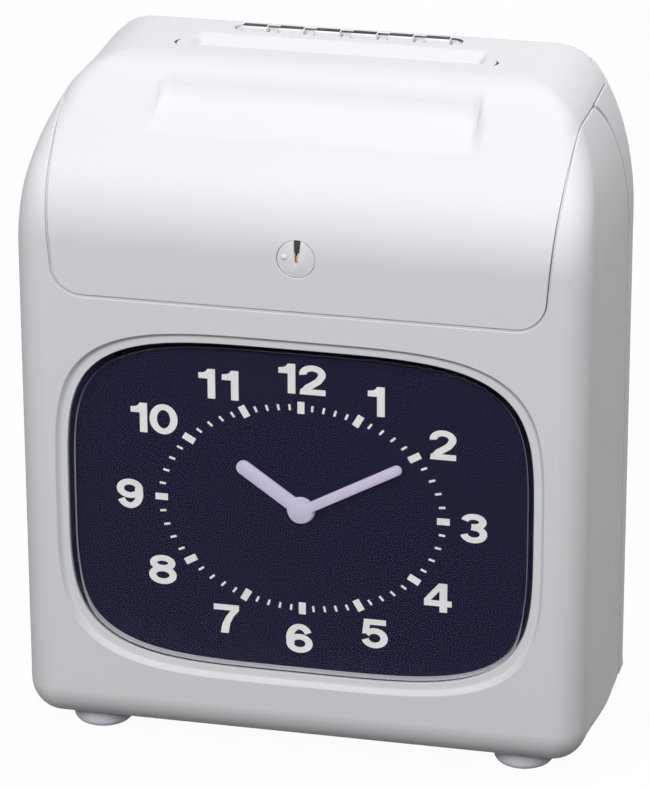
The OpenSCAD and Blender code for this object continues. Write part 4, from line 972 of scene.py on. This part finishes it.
class TIMECLOCK_OT_rear_cover(bpy.types.Operator):
    """Makes the rear cover with vents, wall holes, inlet opening and hinge knuckles"""
    bl_idname = "timeclock.rear_cover"
    bl_label = "Rear cover"

    def execute(self, context):
        wall, edge, roll = shell_sizes(context)
        skin = case_grid(case_body, context.scene.time_clock_shell.mesh / MM)
        # The way round the barrel closes up past its ends
        closing = lambda p: (SWING_R - 0.2) * smooth((np.abs(p[:, 0]) - BARREL_END - 0.3) / 4)
        swing = lambda p, back: np.hypot(p[:, 1] - back - HINGE[0], p[:, 2] - HINGE[1])
        gap = lambda p: np.minimum(swing(p, 0), swing(p, wall)) - SWING_R + closing(p)
        seams = lambda p: np.minimum(np.minimum(-lid_area(p), rear_seam(p)) - edge, gap(p) - roll)
        skin.cut(seams)
        form = Form()
        holes = [(x, z, 2.5, 2.5, 2.5) for x, z in WALL_HOLES]
        holes += [(x, z, 3.4, 3.4, 3.4) for x, z in CASE_SCREWS]
        holes += [(k * 9, 233, 1.5, 11.0, 1.4) for k in range(-4, 5)]
        holes.append((54, 34, 14.0, 10.0, 1.5))

        def open_at(p):
            d = np.full(len(p), FAR)
            for x, z, u, v, r in holes:
                d = np.minimum(d, round_rect(p[:, 0] - x, p[:, 2] - z, u + 0.3, v + 0.3, r + 0.3))
            return np.where(p[:, 1] > 45, d, FAR)

        skin.refine(open_at, 2.4, rounds=2)
        skin.cut(open_at)
        add_skin(form, skin, wall)
        (seam_field, seam_edges), (hole_field, hole_edges) = skin.rims
        add_rim(form, skin, seam_field, seam_edges, roll, wall)
        add_rim(form, skin, hole_field, hole_edges, 0.3, wall, steps=3)
        fit(form.build("rear_cover_shell", finish_of("case_plastic")), "case", "case_plastic", "rear_cover")
        bm = bmesh.new()
        for x, z in CASE_SCREWS:
            turned(bm, [(1.6, 34.5), (6.3, 34.5), (6.3, 50.0), (3.4, 50.0), (3.4, 48.0), (1.6, 48.0), (1.6, 34.5)],
                   (x, 0, z), (0, 1, 0))
        r, half = KNUCKLE_R, KNUCKLE_HALF
        for x in (-KNUCKLE_X, KNUCKLE_X):
            turned(bm, [(2.0, -half), (r - 0.3, -half), (r, 0.3 - half), (r, half - 0.3), (r - 0.3, half), (2.0, half),
                        (2.0, -half)], (x, HINGE[0], HINGE[1]), (1, 0, 0))
            block_mesh(bm, (x - half, 46.6, 243.3), (x + half, 52.0, 261.0), 0.3)
        keep_under(bm, 0.4)
        for x in (-KNUCKLE_X, KNUCKLE_X):
            for z in (91.0, 209.0):
                turned(bm, [(1.6, 44.6), (3.8, 44.6), (4.0, 44.9), (4.0, 50.0), (1.6, 50.0)], (x, 0, z), (0, 1, 0))
        dress("rear_cover_knuckles", bm, "case", "case_plastic")
        return {"FINISHED"}


class TIMECLOCK_OT_lid(bpy.types.Operator):
    """Makes the lid with its finger scoop, lock hole, slot opening, key tray and hinge barrel"""
    bl_idname = "timeclock.lid"
    bl_label = "Lid"

    def execute(self, context):
        wall, edge, roll = shell_sizes(context)
        skin = case_grid(lid_body, context.scene.time_clock_shell.lid_mesh / MM, floor=170)
        skin.refine(lid_area, 2.5)
        skin.cut(lambda p: lid_area(p) - edge)
        lock = lambda p: np.where(p[:, 1] < -35, np.hypot(p[:, 0], p[:, 2] - LOCK_Z) - 7.35 - 0.3, FAR)
        recess = lambda p: np.where(p[:, 2] > 258, round_rect(p[:, 0], p[:, 1] - 21.0, 62.0, 8.0, 4.0), FAR)
        slot = lambda p: np.where(p[:, 2] > 258, round_rect(p[:, 0], p[:, 1] - SLOT_Y, 52.0, 3.0, 0.6) - 0.2, FAR)
        tray = lambda p: np.where(p[:, 2] > 264,
                                  round_rect(p[:, 0] - TRAY[0], p[:, 1] - KEY_Y, TRAY[1], 4.3, 4.0) - 0.3, FAR)
        skin.refine(lock, 2.0, rounds=2)
        skin.refine(lambda p: np.maximum(recess(p), 0), 1.5)
        skin.refine(lambda p: np.minimum(np.abs(recess(p)), np.abs(slot(p))), 2.4)
        skin.refine(tray, 1.6, rounds=2)
        knuckles = lambda p: np.maximum(np.abs(np.abs(p[:, 0]) - KNUCKLE_X) - 4.3, HINGE[0] - p[:, 1])
        for field in (lock, slot, tray, knuckles):
            skin.cut(field)
        form = Form()
        add_skin(form, skin, wall)
        depths = [(roll, wall), (0.3, 2.2), (0.2, wall), (0.3, 2.6), (0.2, wall)]
        for (field, edges), (r, depth) in zip(skin.rims, depths):
            add_rim(form, skin, field, edges, r, depth)
        self.tray_floor(form)
        fit(form.build("lid_shell", finish_of("case_plastic")), "lid", "case_plastic", "lid")
        fit(self.barrel(), "lid", "case_plastic")
        return {"FINISHED"}

    @staticmethod
    def tray_floor(form):
        """Sunk floor round the keys, with a well for each key."""
        level = TOP_Z - 1.0
        flat = lambda p: p[:, 2] - level
        u, v = np.meshgrid(np.linspace(TRAY[0] - TRAY[1], TRAY[0] + TRAY[1], 180),
                           np.linspace(KEY_Y - 4.4, KEY_Y + 4.4, 19), indexing="ij")
        points = np.stack([u.ravel(), v.ravel(), np.full(u.size, level)], 1)
        skin = Skin(flat, points, [tuple(map(int, q)) for q in grid_quads(u.shape)])

        def clear(p):
            d = np.full(len(p), FAR)
            for k in range(KEY_COUNT):
                x = (k - (KEY_COUNT - 1) / 2) * KEY_PITCH + KEY_X
                d = np.minimum(d, round_rect(p[:, 0] - x, p[:, 1] - KEY_Y, 5.6, 2.9, 0.5) - 0.2)
            return d

        skin.cut(lambda p: -round_rect(p[:, 0] - TRAY[0], p[:, 1] - KEY_Y, TRAY[1] - 0.6, 3.7, 3.5) - 0.15)
        skin.cut(clear)
        add_skin(form, skin, 2.0)
        for field, edges in skin.rims:
            add_rim(form, skin, field, edges, 0.2, 2.0, steps=3)

    @staticmethod
    def barrel():
        """Hinge barrel along the rear top edge, open at the two knuckles."""
        bm = bmesh.new()
        near, far = KNUCKLE_X - 4.1, KNUCKLE_X + 4.1
        for x0, x1 in ((-BARREL_END, -far), (-near, near), (far, BARREL_END)):
            n = max(4, int((x1 - x0) / 4))
            stops = [(BARREL_R, x0 + (x1 - x0) * k / n) for k in range(n + 1)]
            stops = [(ROD_R, x0)] + stops + [(ROD_R, x1), (ROD_R, x0)]
            turned(bm, stops, (0, HINGE[0], HINGE[1]), (1, 0, 0), segments=32)
        keep_under(bm, 0.5)
        return finish_bmesh("lid_barrel", bm, finish_of("case_plastic"))


class TIMECLOCK_OT_crystal(bpy.types.Operator):
    """Makes the clear crystal with its rolled front edge"""
    bl_idname = "timeclock.crystal"
    bl_label = "Crystal"

    def execute(self, context):
        a, b, n = WINDOW
        low, high = node_mm("crystal")
        front, back = low[1], high[1]
        turns = np.linspace(0, 2 * math.pi, 361)[:-1]
        c, s = np.cos(turns), np.sin(turns)
        u = np.sign(c) * np.abs(c) ** (2 / n)
        v = np.sign(s) * np.abs(s) ** (2 / n)
        roll = [(1.6 * (1 - math.sin(t)), 1.6 * (1 - math.cos(t))) for t in np.linspace(0, math.pi / 2, 9)]
        outer = [(-0.25 - g, front + d) for g, d in roll] + [(-0.25, back - 0.1), (-0.35, back)]
        soft = [(0.9 * (1 - math.sin(t)), 0.9 * (1 - math.cos(t))) for t in np.linspace(math.pi / 2, 0, 6)]
        inner = [(-0.75, back), (-0.78, back - 0.2)] + [(-0.8 - g, front + 1.8 + d) for g, d in soft]
        thick = 1.4 * smooth((v + 0.8) / 0.35)
        bm = bmesh.new()
        rings = [[bm.verts.new(Vector(((a + g - t) * p, y, DIAL_Z + (b + g - t) * q)) * MM)
                  for p, q, t in zip(u, v, skirt)]
                 for line, skirt in ((outer, 0 * thick), (inner, thick)) for g, y in line]
        bridge(bm, rings)
        bm.faces.new(rings[0])
        bm.faces.new(rings[-1][::-1])
        dress("crystal_clear", bm, "case", "clear", "crystal")
        return {"FINISHED"}


def sweep(points, closed=False, upright=1.45, level=1.2):
    """Outline strips of a pen stroke that is wider on uprights than on level runs."""
    p = np.array(points, float)
    ahead = np.roll(p, -1, 0) - np.roll(p, 1, 0)
    if not closed:
        ahead[0], ahead[-1] = p[1] - p[0], p[-1] - p[-2]
    ahead = unit(ahead)
    half = np.sqrt((upright * ahead[:, 1]) ** 2 + (level * ahead[:, 0]) ** 2)
    side = np.stack([-ahead[:, 1], ahead[:, 0]], 1) * half[:, None]
    return p + side, p - side, closed


def bow(cx, cz, rx, rz, a0, a1, n=36):
    turns = [math.radians(a0 + (a1 - a0) * k / n) for k in range(n + 1)]
    return [(cx + rx * math.cos(t), cz + rz * math.sin(t)) for t in turns]


def figure(digit):
    """Shapes of one bold figure, 12.1 mm tall: plain outlines with holes, and pen strokes."""
    full = lambda cx, cz, rx, rz: sweep(bow(cx, cz, rx, rz, 0, 360)[:-1], closed=True)
    if digit == "0":
        return 11.0, [], [full(0, 0, 4.05, 5.0)]
    if digit == "1":
        return 6.5, [[[(-3.25, 2.0), (0.3, 2.0), (0.3, -6.05), (3.25, -6.05), (3.25, 6.05), (0.35, 6.05), (-0.25, 5.1),
                       (-1.2, 4.5), (-3.25, 4.3)]]], []
    if digit == "2":
        curve = bow(0, 2.35, 3.65, 2.5, 188, -25) + [(2.2, -0.35), (0.2, -1.75), (-1.9, -3.1), (-3.1, -4.7)]
        return 10.2, [[[(-5.0, -6.05), (5.0, -6.05), (5.0, -3.7), (-4.6, -3.7)]]], [sweep(curve)]
    if digit == "3":
        return 10.4, [], [sweep(bow(0, 2.75, 3.45, 2.1, 172, -90) + [(-0.9, 0.65)]),
                          sweep([(-0.9, 0.5)] + bow(0, -2.25, 3.75, 2.6, 90, -172))]
    if digit == "4":
        return 10.75, [[[(-5.4, -3.6), (0.6, -3.6), (0.6, -6.05), (3.6, -6.05), (3.6, -3.6), (5.35, -3.6),
                         (5.35, -1.15), (3.6, -1.15), (3.6, 6.05), (0.4, 6.05), (-5.4, -0.85)],
                        [(-2.75, -1.15), (0.6, -1.15), (0.6, 2.85)]]], []
    if digit == "5":
        return 10.4, [[[(-4.2, 6.05), (4.4, 6.05), (4.4, 3.7), (-1.9, 3.7), (-2.3, 0.1), (-4.9, -0.3)]]], \
            [sweep(bow(-0.05, -1.85, 3.75, 3.05, 150, -168))]
    if digit == "6":
        return 10.6, [], [full(0.05, -2.1, 3.75, 2.8), sweep(bow(0.1, 0, 3.85, 4.95, 28, 215))]
    if digit == "7":
        return 10.0, [[[(-5.0, 6.05), (5.0, 6.05), (5.0, 3.75), (2.9, 1.2), (1.5, -1.8), (0.8, -6.05), (-2.3, -6.05),
                        (-1.7, -2.4), (-0.3, 0.8), (1.7, 3.6), (-5.0, 3.6)]]], []
    if digit == "8":
        return 11.2, [], [full(0, 2.8, 3.6, 2.1), full(0, -2.25, 4.05, 2.7)]
    wide, outlines, strokes = figure("6")
    return wide, outlines, [(-a, -b, closed) for a, b, closed in strokes]


class TIMECLOCK_OT_dial(bpy.types.Operator):
    """Prints the numerals on the dial"""
    bl_idname = "timeclock.dial"
    bl_label = "Dial"

    places = {12: (0.5, 53.4), 1: (29.0, 46.9), 2: (54.6, 31.5), 3: (66.6, -1.6), 4: (53.0, -31.8), 5: (28.4, -49.6),
              6: (-1.2, -54.6), 7: (-30.0, -49.2), 8: (-55.0, -30.8), 9: (-67.4, 0.1), 10: (-57.3, 32.2),
              11: (-31.9, 48.5)}

    def execute(self, context):
        s = context.scene.time_clock_dial
        face = node_mm("dial")[0][1]
        bm = bmesh.new()
        for hour, (x, z) in self.places.items():
            parts = [figure(d) for d in str(hour)]
            gap = {10: 0.9, 11: 2.6, 12: 1.5}.get(hour, 0)
            at = x - (sum(w for w, _, _ in parts) + gap * (len(parts) - 1)) / 2
            for wide, outlines, strokes in parts:
                self.print_figure(bm, (at + wide / 2, DIAL_Z + z), face, s.numeral / MM / FIGURE_TALL, s.ink / MM,
                                  outlines, strokes)
                at += wide + gap
        dress("dial_numerals", bm, "case", "print_white")
        return {"FINISHED"}

    @staticmethod
    def print_figure(bm, place, face, scale, ink, outlines, strokes):
        layer = 0
        for loops in outlines:
            corners = [p for loop in loops for p in loop]
            verts = [bm.verts.new(Vector((place[0] + u * scale, face - ink, place[1] + v * scale)) * MM)
                     for u, v in corners]
            for tri in tessellate_polygon([[Vector((u, v, 0)) for u, v in loop] for loop in loops]):
                bm.faces.new([verts[i] for i in tri])
            layer += 1
        for left, right, closed in strokes:
            y = face - ink - 0.006 * layer
            rows = [[bm.verts.new(Vector((place[0] + u * scale, y, place[1] + v * scale)) * MM) for u, v in side]
                    for side in (left, right)]
            n = len(rows[0])
            for k in range(n if closed else n - 1):
                m = (k + 1) % n
                bm.faces.new((rows[0][k], rows[1][k], rows[1][m], rows[0][m]))
            layer += 1


def hand_outline(length, width, hub, turn):
    """Outline of a straight hand with a round hub and tip, turned clockwise."""
    start = math.degrees(math.asin(width / 2 / hub))
    pts = [(hub * math.sin(math.radians(a)), hub * math.cos(math.radians(a)))
           for a in np.linspace(start, 360 - start, 49)]
    tip = width / 2
    pts += [(-tip * math.cos(a), length - tip + tip * math.sin(a)) for a in np.linspace(0, math.pi, 25)]
    c, s = math.cos(turn), math.sin(turn)
    return [(u * c + v * s, v * c - u * s) for u, v in pts]


class TIMECLOCK_OT_hands(bpy.types.Operator):
    """Makes the hour and minute hands and the cap over them"""
    bl_idname = "timeclock.hands"
    bl_label = "Hands"

    def execute(self, context):
        s = context.scene.time_clock_dial
        for name, body, length, width, hub, turn in (("hour_hand", "hour_works", 30.0, 5.9, 5.4, s.hour),
                                                     ("minute_hand", "minute_works", 44.6, 4.0, 4.8, s.minute)):
            low, high = node_mm(name)
            bm = bmesh.new()
            plate_mesh(bm, hand_outline(length, width, hub, turn), (0, DIAL_Z), low[1], high[1] - low[1], 0.25)
            dress(name + "_painted", bm, body, "hand_paint", name)
        low, high = node_mm("hand_cap")
        bm = bmesh.new()
        depth = high[1] - low[1]
        turned(bm, [(0, depth - 0.12), (2.2, depth - 0.1), (2.6, depth - 0.02), (2.6, depth), (0, depth)],
               (0, low[1], DIAL_Z), (0, 1, 0))
        dress("hand_cap_turned", bm, "minute_works", "hand_paint", "hand_cap")
        return {"FINISHED"}


class TIMECLOCK_OT_lock(bpy.types.Operator):
    """Makes the lock's face with its keyway and index bump"""
    bl_idname = "timeclock.lock"
    bl_label = "Lock"

    def execute(self, context):
        low, high = node_mm("lock_face")
        bm = bmesh.new()
        r = 7.2
        turns = np.linspace(math.asin(1.75 / r), 2 * math.pi - math.asin(0.8 / r), 97)
        ring = [(r * math.sin(a), r * math.cos(a)) for a in turns]
        keyway = [(-0.75, 3.3), (-0.5, 2.6), (-0.45, -1.4), (-0.2, -1.7), (0.4, -1.7), (0.65, -1.4), (0.75, 1.6),
                  (1.25, 2.3), (1.35, 3.3)]
        face = low[1] + 0.8
        plate_mesh(bm, ring + keyway, (0, LOCK_Z), face, 2.0, 0.25)
        turned(bm, [(0.0, -0.75), (0.5, -0.66), (0.9, -0.36), (1.15, 0.1), (0, 0.12)], (-4.6, face, LOCK_Z + 0.6),
               (0, 1, 0), 24)
        turned(bm, [(6.6, 1.9), (6.6, high[1] - face), (5.8, high[1] - face), (5.8, 1.9)], (0, face, LOCK_Z), (0, 1, 0))
        dress("lock_face_disc", bm, "lock", "lock_plastic", "lock_face")
        # Black blocks just behind the keyway: painted shade that darkens the keyhole on top of its own shadow.
        bm = bmesh.new()
        block_mesh(bm, (-2.4, face + 4.4, LOCK_Z - 2.6), (2.4, face + 5.2, LOCK_Z + 5.4), 0.1)
        block_mesh(bm, (-0.72, face + 0.6, LOCK_Z + 2.4), (1.3, face + 1.9, LOCK_Z + 6.9), 0.1)
        dress("keyway_floor", bm, "lock", "black_plastic")
        bm = bmesh.new()
        block_mesh(bm, (-0.1, face + 0.7, LOCK_Z - 1.6), (0.7, face + 4.6, LOCK_Z + 1.2), 0.2)
        block_mesh(bm, (0.35, face + 0.5, LOCK_Z + 0.9), (1.15, face + 4.6, LOCK_Z + 2.3), 0.3)
        dress("keyway_ward", bm, "lock", "brass", "lock_core")
        return {"FINISHED"}


class TIMECLOCK_OT_slot(bpy.types.Operator):
    """Makes the liner of the card slot's throat"""
    bl_idname = "timeclock.slot"
    bl_label = "Card slot"

    def execute(self, context):
        low, high = node_mm("slot_bezel")
        bm = bmesh.new()
        rows = []
        for half_x, half_y, z in ((55.0, 4.9, 261.6), (54.9, 4.8, 261.8), (52.3, 3.3, 261.8), (52.0, 3.0, 261.5),
                                  (52.0, 3.0, low[2]), (53.6, 4.6, low[2]), (53.6, 4.6, 260.4), (55.0, 4.9, 260.4),
                                  (55.0, 4.9, 261.6)):
            ring = []
            for cx, cy, turn in ((1, 1, 0), (-1, 1, 90), (-1, -1, 180), (1, -1, 270)):
                for k in range(7):
                    t = math.radians(turn + 15 * k)
                    ring.append(bm.verts.new(Vector((cx * (half_x - 0.6) + 0.6 * math.cos(t),
                                                     SLOT_Y + cy * (half_y - 0.6) + 0.6 * math.sin(t), z)) * MM))
            rows.append(ring)
        bridge(bm, rows)
        dress("slot_throat", bm, "lid", "button_plastic", "slot_bezel", angle=28)
        # Black crescents at the two ends of the slot's lead-in: painted shade for the deep shadow in the trough's end
        # walls.
        bm = bmesh.new()
        turns = np.linspace(-0.75, 0.75, 17)
        for end in (-1, 1):
            ribbon(bm, [(end * (57.2 + 5.0 * math.cos(a)), 15.2 + 5.0 * math.sin(a)) for a in turns],
                   [0.06 + 0.5 * math.cos(a * 2.0) ** 2 for a in turns], TOP_Z + 0.03, 0.6)
        dress("slot_end_gaps", bm, "lid", "black_plastic")
        return {"FINISHED"}


class TIMECLOCK_OT_keys(bpy.types.Operator):
    """Makes the six keys with their dark rear strips"""
    bl_idname = "timeclock.keys"
    bl_label = "Keys"

    def execute(self, context):
        for k in range(KEY_COUNT):
            name = f"button_{k + 1}"
            low, high = node_mm(name)
            x, top = (low[0] + high[0]) / 2 + KEY_X, high[2] - 0.9
            bm = bmesh.new()
            block_mesh(bm, (x - 4.95, KEY_Y - 2.5, 262.7), (x + 4.95, KEY_Y + 1.6, top), 0.5, 3)
            block_mesh(bm, (x - 5.6, KEY_Y - 3.1, 262.3), (x + 5.6, KEY_Y + 3.1, 263.6), 0.2)
            turned(bm, [(0, low[2]), (1.0, low[2]), (1.2, low[2] + 0.2), (1.2, 262.5), (0, 262.5)], (x, KEY_Y, 0),
                   (0, 0, 1), 24)
            dress(name + "_cap", bm, name, "button_plastic", name)
            bm = bmesh.new()
            block_mesh(bm, (x - 4.7, KEY_Y - 2.1, top - 0.6), (x + 4.7, KEY_Y + 1.4, top + 0.05), 0.2)
            dress(name + "_strip", bm, name, "black_plastic")
        # A thin black strip in the gap along the rear edge of the key tray: painted shade for the shadow in that gap.
        right = TRAY[0] + TRAY[1] - 4.3
        line = [(-41.5, 4.05), (right, 4.05)]
        line += [(right + 4.05 * math.sin(a), 4.05 * math.cos(a)) for a in np.linspace(0.1, 2.6, 24)]
        bm = bmesh.new()
        ribbon(bm, [(u, KEY_Y + v) for u, v in line], [0.22] * len(line), TOP_Z - 0.3, 0.4)
        dress("key_tray_line", bm, "lid", "black_plastic")
        return {"FINISHED"}


class TIMECLOCK_OT_feet(bpy.types.Operator):
    """Makes the soft feet"""
    bl_idname = "timeclock.feet"
    bl_label = "Feet"

    def execute(self, context):
        low, high = node_mm("feet")
        bm = bmesh.new()
        r, h = 12.1, 7.05
        for x in (low[0] + 10.8, high[0] - 10.8):
            for y in (low[1] + 10.8, high[1] - 10.8):
                curve = [(r - 2.8 + 2.6 * math.sin(a), 3.4 - 3.4 * math.cos(a))
                         for a in np.linspace(0, math.radians(80), 9)]
                turned(bm, [(3.4, 3.8), (3.4, 0.3), (3.7, 0.0)] + curve + [(r - 0.1, 4.4), (r, 5.2), (r, h), (0, h)],
                       (x, y, 0), (0, 0, 1))
        dress("feet_soft", bm, "case", "foot_rubber", "feet")
        return {"FINISHED"}


class TIMECLOCK_OT_inside(bpy.types.Operator):
    """Gives each remaining CAD node the finish of its material slot"""
    bl_idname = "timeclock.inside"
    bl_label = "Inner finishes"

    def execute(self, context):
        for part in frame["record"]["subparts"]:
            obj = frame["nodes"][part["node"]]
            obj.data.materials.clear()
            obj.data.materials.append(finish_of(part["material_slot"]))
        return {"FINISHED"}


class TIMECLOCK_PT_panel(bpy.types.Panel):
    """Lists the clock's pieces"""
    bl_idname = "TIMECLOCK_PT_panel"
    bl_label = "Time Clock"
    bl_space_type = "VIEW_3D"
    bl_region_type = "UI"
    bl_category = "Time Clock"

    def draw(self, context):
        for operator in OPERATORS:
            self.layout.operator(operator.bl_idname)
        for group in ("time_clock_shell", "time_clock_dial", "time_clock_finish", "time_clock_stage"):
            settings = getattr(context.scene, group)
            box = self.layout.box()
            for name in settings.__annotations__:
                box.prop(settings, name)


OPERATORS = (TIMECLOCK_OT_stage, TIMECLOCK_OT_inside, TIMECLOCK_OT_front_case, TIMECLOCK_OT_rear_cover,
             TIMECLOCK_OT_lid, TIMECLOCK_OT_dial, TIMECLOCK_OT_crystal, TIMECLOCK_OT_hands, TIMECLOCK_OT_lock,
             TIMECLOCK_OT_slot, TIMECLOCK_OT_keys, TIMECLOCK_OT_feet)
SETTINGS = {"time_clock_shell": TimeClockShellSettings, "time_clock_dial": TimeClockDialSettings,
            "time_clock_finish": TimeClockFinishSettings, "time_clock_stage": TimeClockStageSettings}


def register():
    for cls in (*SETTINGS.values(), *OPERATORS, TIMECLOCK_PT_panel):
        bpy.utils.register_class(cls)
    for name, cls in SETTINGS.items():
        setattr(bpy.types.Scene, name, bpy.props.PointerProperty(type=cls))


def unregister():
    for name in SETTINGS:
        delattr(bpy.types.Scene, name)
    for cls in (TIMECLOCK_PT_panel, *reversed(OPERATORS), *reversed(SETTINGS.values())):
        bpy.utils.unregister_class(cls)


def main():
    register()
    for operator in OPERATORS:
        getattr(bpy.ops.timeclock, operator.bl_idname.split(".")[1])()


if __name__ == "__main__":
    main()
